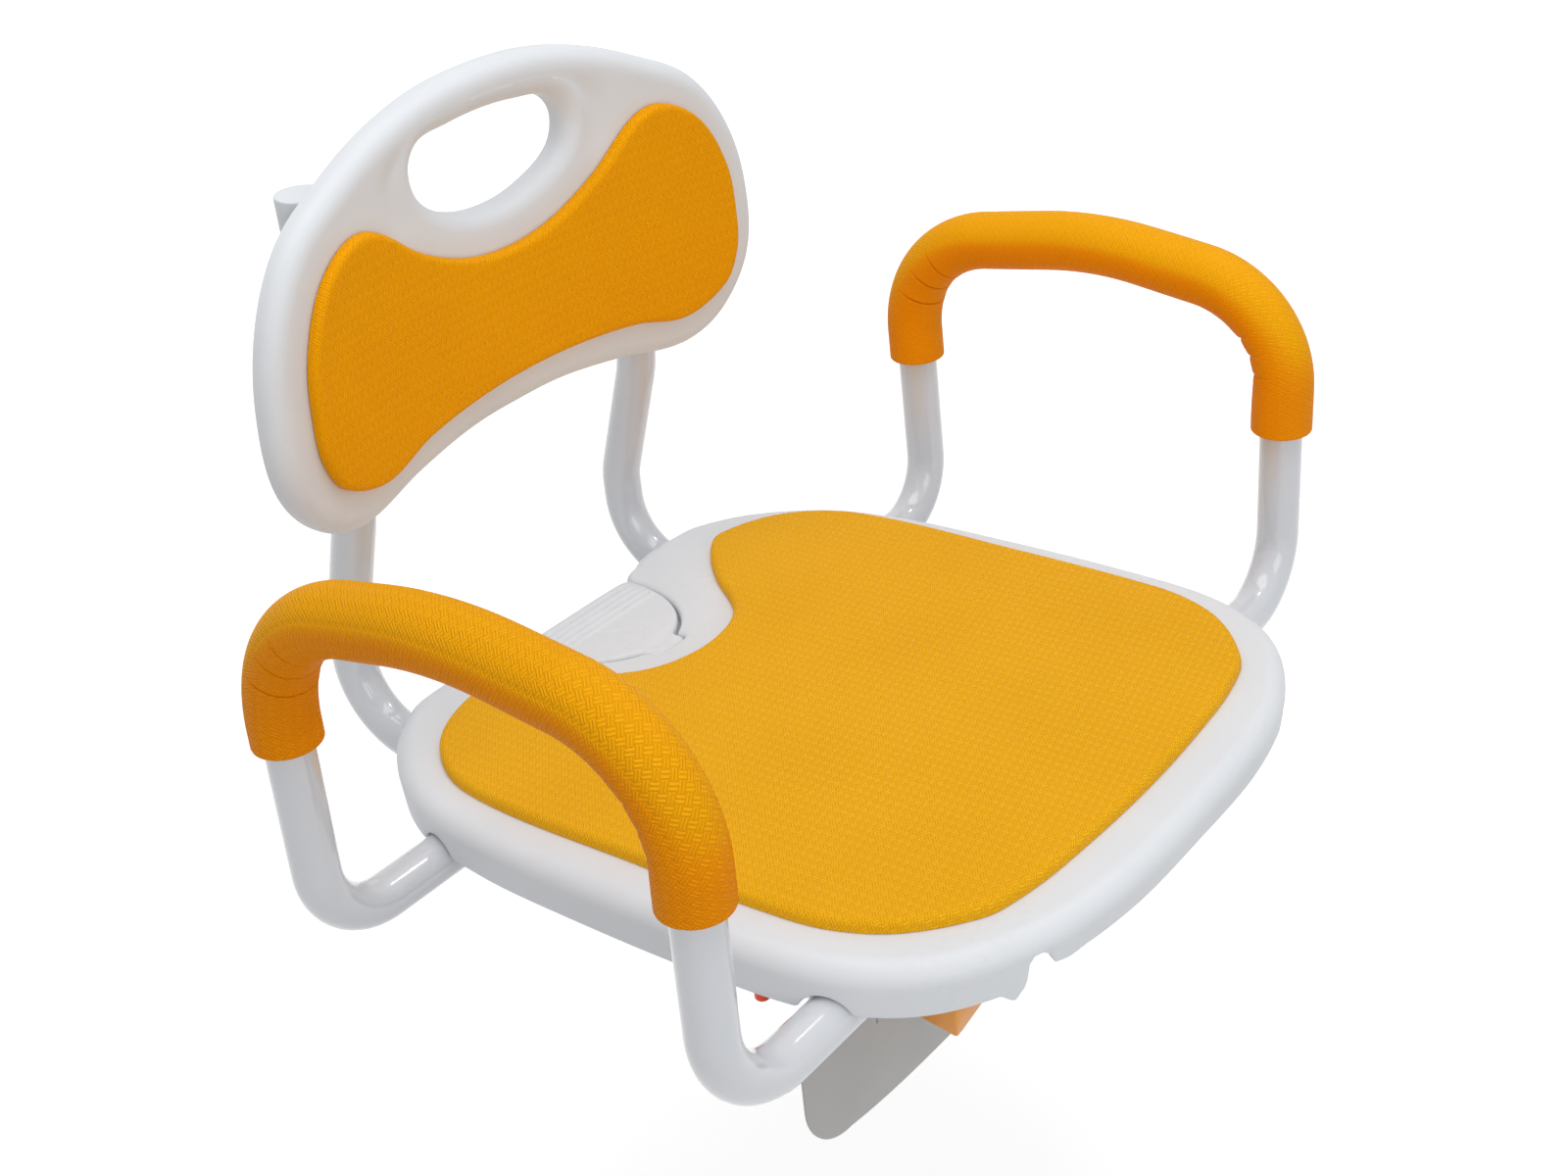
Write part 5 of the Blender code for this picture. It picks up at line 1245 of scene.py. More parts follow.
@dataclass(frozen=True)
class SeatPad:
    """The seat's pad, with the recess at its rear."""

    half_width: float = 0.1942
    off_middle: float = 0.0008
    front: float = -0.1948
    rear: float = 0.1990
    front_corner: float = 0.1050
    lobe_x: float = 0.1220
    recess_depth: float = 0.0880
    recess_half_width: float = 0.0760

    def outline(self) -> Array:
        """Draw the pad's outline.

        Returns:
            Its points.
        """
        width, rear, front = self.half_width, self.rear, self.front
        deep, flank, lobe = self.recess_depth, self.recess_half_width, self.lobe_x
        floor, outer = rear - deep, width - lobe
        turn = ((0.020, 1.046), (0.065, 0.727), (0.210, 0.428), (0.508, 0.155), (0.718, 0.084), (1.05, 0.036))
        half = [
            (0.0, floor),
            (0.55 * flank, floor + 0.14 * deep),
            (flank, floor + 0.62 * deep),
            (flank + 0.55 * (lobe - flank), floor + 0.90 * deep),
            (lobe, rear),
            (lobe + 0.62 * outer, rear - 0.30 * outer),
            (width - 0.04 * outer, rear - 0.95 * outer),
            (width, 0.5 * (rear + front)),
            *((width - x * self.front_corner, front + y * self.front_corner) for x, y in turn),
            (0.0, front),
        ]
        return resampled(mirrored_outline(half, 16) + (self.off_middle, 0.0), PAD_SPACING, closed=True)

    def build(self) -> None:
        """Make the pad on the seat's top."""

        def place(flat: Array, height: Array | float) -> Array:
            """Lift flat points on to the seat."""
            return at_height(flat, FRAME.seat_top + FRAME.gap + height)

        Pad("seat_foam", "seat_pad", self.outline(), place, SEAT_FOAM, quarter_turned=True).build()


def lever_edge(half: float, shoulder: float, front: float, nose_half: float, nose_front: float) -> Array:
    """Return the front edge of the ribbed lever or of its well: half an ellipse with a blunt nose.

    Args:
        half: Half the width at the shoulder.
        shoulder: Where the ellipse starts.
        front: Where the ellipse would end.
        nose_half: Half the nose's width.
        nose_front: Where the nose ends.

    Returns:
        Points from the left shoulder, round the front, to the right shoulder.
    """
    turns = np.linspace(0, math.acos(nose_half / half), 40)
    side = [(half * math.cos(turn), shoulder - (shoulder - front) * math.sin(turn)) for turn in turns]
    side += [(nose_half - inset, nose_front + rise) for inset, rise in
             ((0.0, 0.0060), (0.0010, 0.0024), (0.0040, 0.0004), (0.0080, 0.0))]
    path = resampled(np.array(side + [(-x, y) for x, y in side[::-1]]), 0.0007)
    kernel = np.hanning(9)[1:-1]
    kernel /= kernel.sum()
    held = np.pad(path, ((3, 3), (0, 0)), mode="edge")
    soft = np.column_stack([np.convolve(held[:, axis], kernel, mode="valid") for axis in (0, 1)])
    soft[0], soft[-1] = path[0], path[-1]
    return soft


@dataclass(frozen=True)
class SeatShell:
    """The seat moulding: a rolled rim, a skirt with arches, a dish behind the pad and the lever's well."""

    half_width: float = 0.2205
    front: float = -0.2260
    rear: float = 0.2375
    rear_dip: float = 0.0090
    front_corner: float = 0.1150
    rear_corner: float = 0.0800
    roll: float = 0.0120
    wall: float = 0.0040
    draft: float = 0.0011
    low_round: float = 0.0011
    skirt_bottom: float = 0.0700
    notch_gap: float = 0.0016
    notch_foot: float = 0.0035
    dish_depth: float = 0.0070
    dish_half_width: float = 0.0740
    dish_length: float = 0.1200
    well_half_width: float = 0.0553
    well_front: float = 0.1458
    well_nose_half: float = 0.0149
    well_nose_front: float = 0.1384
    well_wall: float = 0.0026
    ledge: float = 0.0045
    ledge_thickness: float = 0.0010
    ledge_end: float = 0.2000
    well_shoulder: float = 0.2200
    well_corner: float = 0.0140
    well_roll: float = 0.0042
    well_bottom: float = 0.0870
    rear_lip_top: float = 0.0780
    loop_spacing: float = 0.0018
    lip_rear: float = -0.145
    lip_reach: float = 0.21
    arches_from: float = 0.19
    lip: tuple[Flat, ...] = ((0.0, 0.0768), (0.1050, 0.0768), (0.1190, 0.0756), (0.1265, 0.0765),
                             (0.1320, 0.0850), (0.1370, 0.0882), (0.1415, 0.0840), (0.1450, 0.0700),
                             (0.1505, 0.0650), (0.1585, 0.0706), (0.2100, 0.0700))

    def outline(self) -> Array:
        """Draw the widest outline.

        Returns:
            Its points.
        """
        width, rear, front = self.half_width, self.rear, self.front
        edge = ((0.0, -1.0), (0.25, -0.86), (0.38, 0.16), (0.50, 0.18), (0.62, -0.25))
        rear_turn = ((0.585, 0.355), (0.190, 0.965), (0.042, 1.67))
        front_turn = ((0.073, 0.837), (0.302, 0.416), (0.750, 0.138), (1.265, 0.020))
        half = [(x * width, rear + rise * self.rear_dip) for x, rise in edge]
        half += [(width - x * self.rear_corner, rear - y * self.rear_corner) for x, y in rear_turn]
        half += [(width, 0.17 * rear), (0.997 * width, 0.26 * front)]
        half += [(width - x * self.front_corner, front + y * self.front_corner) for x, y in front_turn]
        return mirrored_outline(half + [(0.0, front)], 24)

    def loop(self) -> tuple[Array, Array]:
        """Join the rim and the well into one loop.

        Returns:
            The flat points, and a share for each, from 0 on the rim to 1 in the well.
        """
        outline = self.outline()
        turn, half, count = self.well_corner, self.well_half_width, 12
        start = half + turn
        rim = outline[~((np.abs(outline[:, 0]) < start) & (outline[:, 1] > 0))]
        rear = float(self.rear_edge(np.array([start]))[0])
        corner = arc((start, rear - turn), turn, 1.0, 2.0, count)
        nose = self.well_nose_half, self.well_nose_front
        edge = lever_edge(half, self.well_shoulder, self.well_front, *nose)
        other = [(-x, y) for x, y in corner]
        parts = np.vstack([rim, other, edge[::-1], corner[::-1]])
        rise = np.linspace(0, 1, count)
        well = np.concatenate([np.zeros(len(rim)), rise, np.ones(len(edge)), rise[::-1]])
        even = resampled(np.column_stack([parts, well]), self.loop_spacing, closed=True)
        return even[:, :2], smooth_step(even[:, 2])

    def rear_edge(self, across: Array) -> Array:
        """Find how far back the rear edge lies.

        Args:
            across: Places across the seat.

        Returns:
            Its y at each place.
        """
        outline = self.outline()
        rear = outline[(outline[:, 1] > 0.15) & (outline[:, 0] >= 0)]
        rear = rear[np.argsort(rear[:, 0])]
        return np.interp(np.abs(across), rear[:, 0], rear[:, 1])

    def top(self, flat: Array) -> Array:
        """Return the height of the top face at flat points, with the dish sunk into it."""
        reach = (flat[:, 0] / (1.12 * self.dish_half_width)) ** 2
        reach += ((flat[:, 1] - self.rear) / (1.06 * self.dish_length)) ** 2
        return FRAME.seat_top - self.dish_depth * smooth_step((1 - np.sqrt(reach)) / 0.62)

    def bottom(self, flat: Array, well: Array) -> Array:
        """Work out the height of the edge's bottom, with its arches and its front lip.

        Args:
            flat: The edge's flat points.
            well: How much each point is the well's.

        Returns:
            The heights.
        """
        x, y = flat[:, 0], flat[:, 1]
        at_front = (y < self.lip_rear) & (np.abs(x) < self.lip_reach)
        bottom = np.where(at_front, soft_curve(np.abs(x), *zip(*self.lip)), self.skirt_bottom)
        for place in (FRAME.arm_front, FRAME.arm_rear):
            bottom = np.where(np.abs(x) > self.arches_from, self.arch(y - place, bottom), bottom)
        for side in Side:
            raised = self.arch(x - side.value * FRAME.upright_x, bottom)
            bottom = np.where(y > self.arches_from, raised, bottom)
        return bottom + (self.well_bottom - bottom) * well

    def arch(self, offset: Array, bottom: Array) -> Array:
        """Raise the bottom edge over a tube, with small rounded feet.

        Args:
            offset: How far each point lies from the tube's middle.
            bottom: The height of the edge without the arch.

        Returns:
            The heights.
        """
        radius, foot = FRAME.tube_radius + self.notch_gap, self.notch_foot
        raised = FRAME.cross_height + radius * np.sqrt(np.clip(1 - (offset / radius) ** 2, 0.0, None))
        meet = np.clip(0.5 + 0.5 * (raised - bottom) / foot, 0.0, 1.0)
        return bottom * (1 - meet) + raised * meet + foot * meet * (1 - meet)

    def build(self) -> None:
        """Make the whole moulding."""
        flat, well = self.loop()
        normal = outward(flat)
        roll = self.roll + (self.well_roll - self.roll) * well
        wall = self.wall + (self.well_wall - self.wall) * well
        top, bottom = self.top(flat - normal * roll[:, None]), self.bottom(flat, well)
        draft, low_round = self.draft * (1 - well), self.low_round
        data = MeshData()

        def add(inset: Array, height: Array) -> None:
            """Add one ring at an inset from the edge."""
            data.add_ring(at_height(flat - normal * inset[:, None], height))

        for inset, drop in quarter(1.0, 10)[::-1]:
            add(roll * inset, top - roll * drop)
        for share in np.linspace(0.2, 1.0, 6):
            add(draft * share, top - roll + (bottom + low_round - top + roll) * share)
        for turn in np.linspace(0.3, 1.2, 3):
            add(draft + low_round * (1 - math.cos(turn)), bottom + low_round * (1 - math.sin(turn)))
        shelf = well * smooth_step((self.ledge_end - flat[:, 1]) / 0.02)
        thin = self.ledge_thickness * shelf
        for height in (bottom, bottom - thin):
            add(draft + low_round - self.ledge * shelf, height)
        add(draft + wall / 2, bottom - thin)
        add(draft + wall, bottom + 0.0010 - thin)
        add(np.maximum(draft + wall - 0.001, wall), top - roll)
        deep = np.maximum(roll, wall + 0.0016)
        add(deep, top - self.wall)
        data.join_rings()
        for inset, below in ((roll, 0.0), (deep, self.wall)):
            sheet, faces = sheet_triangles(flat - normal * inset[:, None], 0.0045)
            data.add_sheet(at_height(sheet, self.top(sheet) - below), faces)
        self.rear_strip(data)
        fasten(data.build("seat_moulding"), WHITE_MOULDING, Body.SEAT, "seat_shell")

    def rear_strip(self, data: MeshData) -> None:
        """Add the low strip that closes the skirt behind the lever.

        Args:
            data: The moulding's mesh.
        """
        reach = self.well_half_width + self.well_corner + 0.004
        across = np.linspace(-reach, reach, 61)
        back = self.rear_edge(across) - self.draft - 0.0002
        top, soft = self.rear_lip_top, 0.0008
        profile = ((0.0, self.skirt_bottom), (0.0, top - 0.001), (soft, top), (self.wall - soft, top),
                   (self.wall, top - 0.001), (self.wall, self.skirt_bottom))
        rings = [data.add_points(at_height(np.column_stack([across, back - offset]), height))
                 for offset, height in profile]
        data.bridge(rings + rings[:1], closed=False)
        data.add_face([ring[0] for ring in rings])
        data.add_face([ring[-1] for ring in rings][::-1])


@dataclass(frozen=True)
class Backrest:
    """The curved backrest moulding and its pad."""

    depth_y: float = 0.2311
    middle_z: float = 0.3300
    lean: float = math.radians(-2.2)
    curve_radius: float = 0.7890
    half_width: float = 0.2056
    off_middle: float = -0.0026
    tilt: float = 0.0190
    dish: float = 0.0024
    dish_reach: float = 0.1050
    top: float = 0.4562
    bottom: float = 0.2455
    lobe_drop: float = 0.0156
    thickness: float = 0.0180
    edge: float = 0.0130
    wall: float = 0.0035
    lip_round: float = 0.0008
    handle_half_width: float = 0.0635
    handle_bottom: float = 0.3714
    handle_top: float = 0.4298
    handle_lift: float = 0.0042
    handle_edge: float = 0.0110
    pad_half_width: float = 0.1820
    pad_off_middle: float = 0.0034
    pad_top: float = 0.3966
    pad_middle_top: float = 0.3470
    pad_bottom: float = 0.2534
    pad_middle_bottom: float = 0.2691
    trough_depth: float = 0.0024
    trough_at: float = 0.0200
    trough_width: float = 0.0080
    trough_low: float = 0.3750
    trough_room: float = 0.0160
    trough_fade: float = 0.0200
    boss_radius: float = 0.0080
    boss_round: float = 0.0005
    screw_heights: tuple[float, float] = (0.2750, 0.3650)
    steps: int = 10

    def surface(self, flat: Array, depth: Array | float) -> Array:
        """Return points of the curved face.

        Args:
            flat: (x, height) points.
            depth: How far behind the face each point lies.

        Returns:
            The points in space.
        """
        rise = flat[:, 1] - self.middle_z
        sag = self.curve_radius - np.sqrt(self.curve_radius**2 - flat[:, 0] ** 2)
        sag += self.dish * (rise / self.dish_reach) ** 2
        y = self.depth_y - sag + rise * math.sin(self.lean) + depth
        height = self.middle_z + rise * math.cos(self.lean) + self.tilt * flat[:, 0]
        return np.column_stack([flat[:, 0] + self.off_middle, y, height])

    def outline(self) -> Array:
        """Draw the moulding's outline.

        Returns:
            Its (x, height) points.
        """
        width, top, bottom, drop = self.half_width, self.top, self.bottom, self.lobe_drop
        tall = top - bottom
        upper = ((0.0, 0.0), (0.22, 0.0137), (0.43, 0.0615), (0.623, 0.1375), (0.813, 0.239), (0.938, 0.402),
                 (1.0, 0.608))
        lower = ((0.868, 0.18), (0.70, 1.0), (0.44, 0.455), (0.20, 0.06), (0.0, 0.0))
        half = [(x * width, top - fall * tall) for x, fall in upper]
        half += [(0.99 * width, bottom + 0.155 * tall)]
        half += [(x * width, bottom - fall * drop) for x, fall in lower]
        return mirrored_outline(half, self.steps)

    def handle(self) -> Array:
        """Draw the hand opening's outline.

        Returns:
            Its points, as many as the moulding's.
        """
        width, top, bottom = self.handle_half_width, self.handle_top, self.handle_bottom
        tall = top - bottom
        upper = ((0.0, 0.0), (0.45, 0.028), (0.84, 0.11), (1.0, 0.36))
        lower = ((0.90, 0.32), (0.47, 0.078), (0.0, 0.0))
        half = [(x * width, top - fall * tall) for x, fall in upper]
        half += [(x * width, bottom + rise * tall) for x, rise in lower]
        hole = mirrored_outline(half, 2 * self.steps)
        lift = self.handle_lift * np.where(hole[:, 0] < 0, (hole[:, 0] / width) ** 4, 0.0)
        return hole + at_height(np.zeros(len(hole)), lift - self.tilt * hole[:, 0])

    def pad_outline(self) -> Array:
        """Draw the pad's outline.

        Returns:
            Its (x, height) points.
        """
        width, top, bottom = self.pad_half_width, self.pad_top, self.pad_bottom
        tall, middle = top - bottom, self.pad_middle_top
        valley = ((0.0, 0.0), (0.20, 0.10), (0.40, 0.42))
        crest = ((0.65, 0.0), (0.845, 0.09), (0.97, 0.35), (1.0, 0.64))
        half = [(x * width, middle + rise * (top - middle)) for x, rise in valley]
        half += [(x * width, top - fall * tall) for x, fall in crest]
        half += [(x * width, bottom + rise * tall) for x, rise in ((0.985, 0.21), (0.92, 0.08), (0.735, 0.0))]
        half += [(x * width, bottom + rise * (self.pad_middle_bottom - bottom))
                 for x, rise in ((0.51, 0.58), (0.245, 0.904), (0.0, 1.0))]
        return resampled(mirrored_outline(half, 16) + (self.pad_off_middle, 0.0), PAD_SPACING, closed=True)

    def trough(self, flat: Array, hole: Array, rim: Array) -> Array:
        """Work out the soft valley that sets the hand opening's rim off on either side.

        Args:
            flat: The face's points.
            hole: The hand opening's outline.
            rim: The face's outer edge, where the valley fades.

        Returns:
            How deep the valley is at each point.
        """
        away = (distance_to(flat, hole) - self.trough_at) / self.trough_width
        room = smooth_step(distance_to(flat, rim) / self.trough_room)
        room *= smooth_step((flat[:, 1] - self.trough_low) / self.trough_fade)
        return self.trough_depth * np.exp(-(away**2)) * room

    def build_shell(self, uprights: Uprights) -> None:
        """Make the moulding with its hand opening and its screw bosses.

        Args:
            uprights: The back tubes that the bosses reach.
        """
        outline, hole = self.outline(), self.handle()
        out_normal, hole_normal = outward(outline), outward(hole)
        full, soft, wall = self.thickness, self.lip_round, self.wall
        data = MeshData()

        def around_rim(inset: float, depth: float) -> None:
            """Add one ring inside the outline."""
            data.add_ring(self.surface(outline - out_normal * inset, depth))

        def around_hole(inset: float, depth: float) -> None:
            """Add one ring outside the hand opening."""
            data.add_ring(self.surface(hole + hole_normal * inset, depth))

        rim, collar = outline - out_normal * self.edge, hole + hole_normal * self.handle_edge
        between = [rim + (collar - rim) * share for share in np.linspace(0.0, 1.0, 22)[1:-1]]
        around_rim(0.0, full - soft)
        for inset, drop in quarter(self.edge, 9):
            around_rim(inset, drop)
        for flat in between:
            data.add_ring(self.surface(flat, self.trough(flat, hole, rim)))
        for inset, drop in quarter(self.handle_edge, 8)[::-1]:
            around_hole(inset, drop)
        for inset, depth in ((0.0, full - soft), (soft, full), (wall - 0.0006, full), (wall, full - soft),
                             (self.handle_edge - 0.0005, wall + 0.0012)):
            around_hole(inset, depth)
        for flat in between[::-1]:
            data.add_ring(self.surface(flat, wall + self.trough(flat, hole, rim)))
        for inset, depth in ((self.edge - 0.0008, wall + 0.0006), (wall, self.edge), (wall, full - soft),
                             (wall - soft, full), (soft, full)):
            around_rim(inset, depth)
        data.join_rings(around=True)
        self.add_bosses(data, uprights)
        fasten(data.build("backrest_moulding"), WHITE_MOULDING, Body.SEAT, "backrest_shell")

    def add_bosses(self, data: MeshData, uprights: Uprights) -> None:
        """Add the round bosses that the backrest's screws go into.

        Args:
            data: The moulding's mesh.
            uprights: The back tubes that the bosses reach.
        """
        for side in Side:
            for height in self.screw_heights:
                x = side.value * FRAME.upright_x
                front = float(self.surface(np.array([[x, height]]), 0.6 * self.wall)[0, 1])
                back = uprights.place_at(height) - FRAME.tube_radius - FRAME.curved_gap
                profile = ((self.boss_radius, front), (self.boss_radius, back - self.boss_round),
                           (self.boss_radius - self.boss_round, back))
                place = Matrix.Translation((x, 0.0, height)) @ Matrix.Rotation(-math.pi / 2, 4, "X")
                data.add_turned(profile, 36, place)

    def build_pad(self) -> None:
        """Make the pad on the curved face."""

        def place(flat: Array, height: Array | float) -> Array:
            """Lay flat points on the face."""
            return self.surface(flat, -FRAME.curved_gap - height)

        Pad("back_foam", "backrest_pad", self.pad_outline(), place, BACK_FOAM_PAINTED_SHADE).build()


@dataclass(frozen=True)
class ReleaseTongue:
    """The ribbed lever behind the pad."""

    half_width: float = 0.0550
    front: float = 0.1490
    rear: float = 0.2260
    shoulder: float = 0.2200
    nose_half: float = 0.0145
    nose_front: float = 0.1390
    dimple: Flat = (-0.0026, 0.1824)
    dimple_radius: float = 0.0020
    dimple_depth: float = 0.0007
    top: float = 0.0960
    thickness: float = 0.0062
    crown: float = 0.0014
    edge: float = 0.0030
    low_edge: float = 0.0006
    corner: float = 0.0060
    rib_count: int = 5
    rib_pitch: float = 0.0062
    rib_height: float = 0.0014
    rib_setback: float = 0.0060
    rib_half_width: float = 0.0010
    lug_x: float = 0.0300
    lug_half_width: float = 0.0030
    shaft_y: float = 0.1700
    shaft_z: float = 0.0780
    hub: float = 0.0065

    def outline(self) -> Array:
        """Draw the lever's outline.

        Returns:
            Its points, the front edge first and a straight rear edge last.
        """
        turn = self.corner
        edge = lever_edge(self.half_width, self.shoulder, self.front, self.nose_half, self.nose_front)
        left = arc((turn - self.half_width, self.rear - turn), turn, 2.0, 1.0, 8)
        right = [(-x, y) for x, y in left[::-1]]
        return resampled(np.vstack([edge, left, right]), 0.0012, closed=True)

    def height(self, flat: Array) -> Array:
        """Work out the top's height, with its crown, its ribs and its dimple.

        Args:
            flat: The places asked about.

        Returns:
            The heights.
        """
        x, y = flat[:, 0], flat[:, 1]
        crown = self.crown * (1 - (x / self.half_width) ** 4) * smooth_step((y - self.front) / 0.010)
        ribs = np.zeros(len(flat))
        for number in range(self.rib_count):
            at = self.rear - self.rib_setback - self.rib_pitch * number
            ribs += np.exp(-(((y - at) / self.rib_half_width) ** 2))
        side = smooth_step((self.half_width - 0.004 - np.abs(x)) / 0.006)
        away = np.hypot(x - self.dimple[0], y - self.dimple[1])
        dimple = self.dimple_depth * np.exp(-((away / self.dimple_radius) ** 2))
        return self.top + crown + self.rib_height * ribs * side - dimple

    def build(self) -> None:
        """Make the lever with the two lugs that hold it on its shaft."""
        loop = self.outline()
        normal = outward(loop)
        bottom = self.top - self.thickness
        data = MeshData()
        data.add_ring(at_height(loop - normal * self.low_edge, bottom))
        data.add_ring(at_height(loop, bottom + self.low_edge))
        for inset, drop in quarter(self.edge, 5):
            flat = loop - normal * inset
            data.add_ring(at_height(flat, self.height(flat) - drop))
        data.join_rings()
        flat, faces = sheet_triangles(loop - normal * self.edge, 0.0006)
        data.add_sheet(at_height(flat, self.height(flat)), faces)
        flat, faces = sheet_triangles(loop - normal * self.low_edge, 0.006)
        data.add_sheet(at_height(flat, bottom), faces)
        for side in Side:
            self.add_lug(data, side.value * self.lug_x, bottom + 0.001)
        fasten(data.build("release_paddle"), WHITE_MOULDING, Body.RELEASE, "release_tongue")

    def add_lug(self, data: MeshData, x: float, top: float) -> None:
        """Add one round-ended lug down to the shaft.

        Args:
            data: The lever's mesh.
            x: Where the lug's middle is.
            top: How high it reaches.
        """
        low = arc((self.shaft_y, self.shaft_z), self.hub, 2.0, 4.0, 17)
        profile = [*low, (self.shaft_y + self.hub, top), (self.shaft_y - self.hub, top)]
        near, far = [data.add_points([(x + shift, y, z) for y, z in profile])
                     for shift in (-self.lug_half_width, self.lug_half_width)]
        data.bridge([near, far])
        data.add_face(near)
        data.add_face(far[::-1])


@dataclass(frozen=True)
class GuardPlate:
    """The hanging grey sheet with its slotted tabs."""

    half_width: float = 0.2145
    face: float = -0.1147
    thickness: float = 0.0020
    bottom: float = -0.0430
    bow: float = 0.0077
    top: float = 0.0280
    corner: float = 0.0350
    top_corner: float = 0.0040
    tab_x: float = 0.1500
    tab_width: float = 0.0360
    tab_top: float = 0.0840
    tab_corner: float = 0.0030
    tab_fillet: float = 0.0060
    slot_width: float = 0.0060
    slot_foot: float = 0.0012
    slot_neck: float = 0.0330
    slot_bottom: float = 0.0130
    slot_top: float = 0.0740
    edge: float = 0.0005

    def outline(self) -> list[Flat]:
        """Draw the sheet's outline.

        Returns:
            Its (x, z) points.
        """
        flat, low, high = self.half_width - self.corner, self.bottom, self.top
        middle = low + self.bow + self.corner
        points = arc((-flat, middle), self.corner, 2.0, 3.0, 13)
        points += [(x, low + self.bow * abs(x / flat) ** 4) for x in np.linspace(-flat, flat, 33)[1:-1]]
        points += arc((flat, middle), self.corner, 3.0, 4.0, 13)
        half, fillet, corner = self.tab_width / 2, self.tab_fillet, self.tab_corner
        side = [(half + fillet, high), (half + 0.3 * fillet, high + 0.3 * fillet), (half, high + fillet),
                (half, self.tab_top - corner), (half - corner, self.tab_top)]
        shoulder = [(self.half_width, high - self.top_corner), (self.half_width - self.top_corner, high)]
        points += shoulder
        for x in (self.tab_x, -self.tab_x):
            points += [(x + across, z) for across, z in side] + [(x - across, z) for across, z in side[::-1]]
        return points + [(-x, z) for x, z in shoulder[::-1]]

    def slot(self, x: float) -> list[Flat]:
        """Draw a tab's slot, narrow at its foot.

        Args:
            x: Where the tab's middle is.

        Returns:
            Its (x, z) points.
        """
        half, foot, neck = self.slot_width / 2, self.slot_foot / 2, self.slot_neck
        side = [(half, neck + 0.004), (foot, neck), (foot, self.slot_bottom)]
        left, right = [(x - across, z) for across, z in side], [(x + across, z) for across, z in side[::-1]]
        return arc((x, self.slot_top - half), half, 0.0, 2.0, 13) + left + right

    def build(self) -> None:
        """Make the sheet from a filled flat curve with a fine rounded edge."""
        curve = bpy.data.curves.new("guard_sheet", "CURVE")
        curve.dimensions = "2D"
        curve.fill_mode = "BOTH"
        curve.extrude = self.thickness / 2 - self.edge
        curve.bevel_depth = self.edge
        curve.bevel_resolution = 2
        curve.offset = -self.edge
        for points in (self.outline(), self.slot(self.tab_x), self.slot(-self.tab_x)):
            spline = curve.splines.new("POLY")
            spline.points.add(len(points) - 1)
            for target, (x, z) in zip(spline.points, points):
                target.co = (x, z, 0.0, 1.0)
            spline.use_cyclic_u = True
        sheet = baked(placed("guard_sheet", curve))
        middle = Matrix.Translation((0.0, self.face + self.thickness / 2, 0.0))
        sheet.data.transform(middle @ Matrix.Rotation(math.pi / 2, 4, "X"))
        tidy_mesh(sheet.data)
        fasten(sheet, GREY_SHEET, Body.SEAT, "guard_plate")


@dataclass(frozen=True)
class Sockets:
    """The coated cross tubes that hold the arm loops and the back tubes."""

    radius: float = 0.0142
    bore: float = 0.0136
    front_reach: float = 0.1700
    rear_reach: float = 0.1740
    back_end: float = 0.2280
    edge: float = 0.0006
    sides: int = 48

    def build(self) -> None:
        """Make the four sockets, each after its solid's place."""
        for node, reach in (("front_socket", self.front_reach), ("rear_socket", self.rear_reach)):
            middle = box_of(node)[1]
            self.tube(node, (-reach, middle.y, middle.z), (reach, middle.y, middle.z))
        for side in Side:
            node = f"back_socket_{side.word}"
            low, middle, high = box_of(node)
            x = side.value * FRAME.upright_x
            self.tube(node, (x, low.y, middle.z), (x, min(high.y, self.back_end), middle.z))

    def tube(self, node: str, start: Point, end: Point) -> None:
        """Make one open tube with softened ends.

        Args:
            node: The CAD node that it stands for.
            start: The middle of one end.
            end: The middle of the other end.
        """
        run = Vector(end) - Vector(start)
        along, upward, length = run.normalized(), Vector((0.0, 0.0, 1.0)), run.length
        place = Matrix.Translation(start) @ Matrix((along.cross(upward), upward, along)).transposed().to_4x4()
        soft = self.radius - self.edge
        profile = ((soft, 0.0), (self.radius, self.edge), (self.radius, length - self.edge), (soft, length),
                   (self.bore, length), (self.bore, 0.0))
        data = MeshData()
        data.add_turned(profile, self.sides, place, hollow=True)
        fasten(data.build(f"{node}_tube"), WHITE_COATING, Body.SEAT, node)


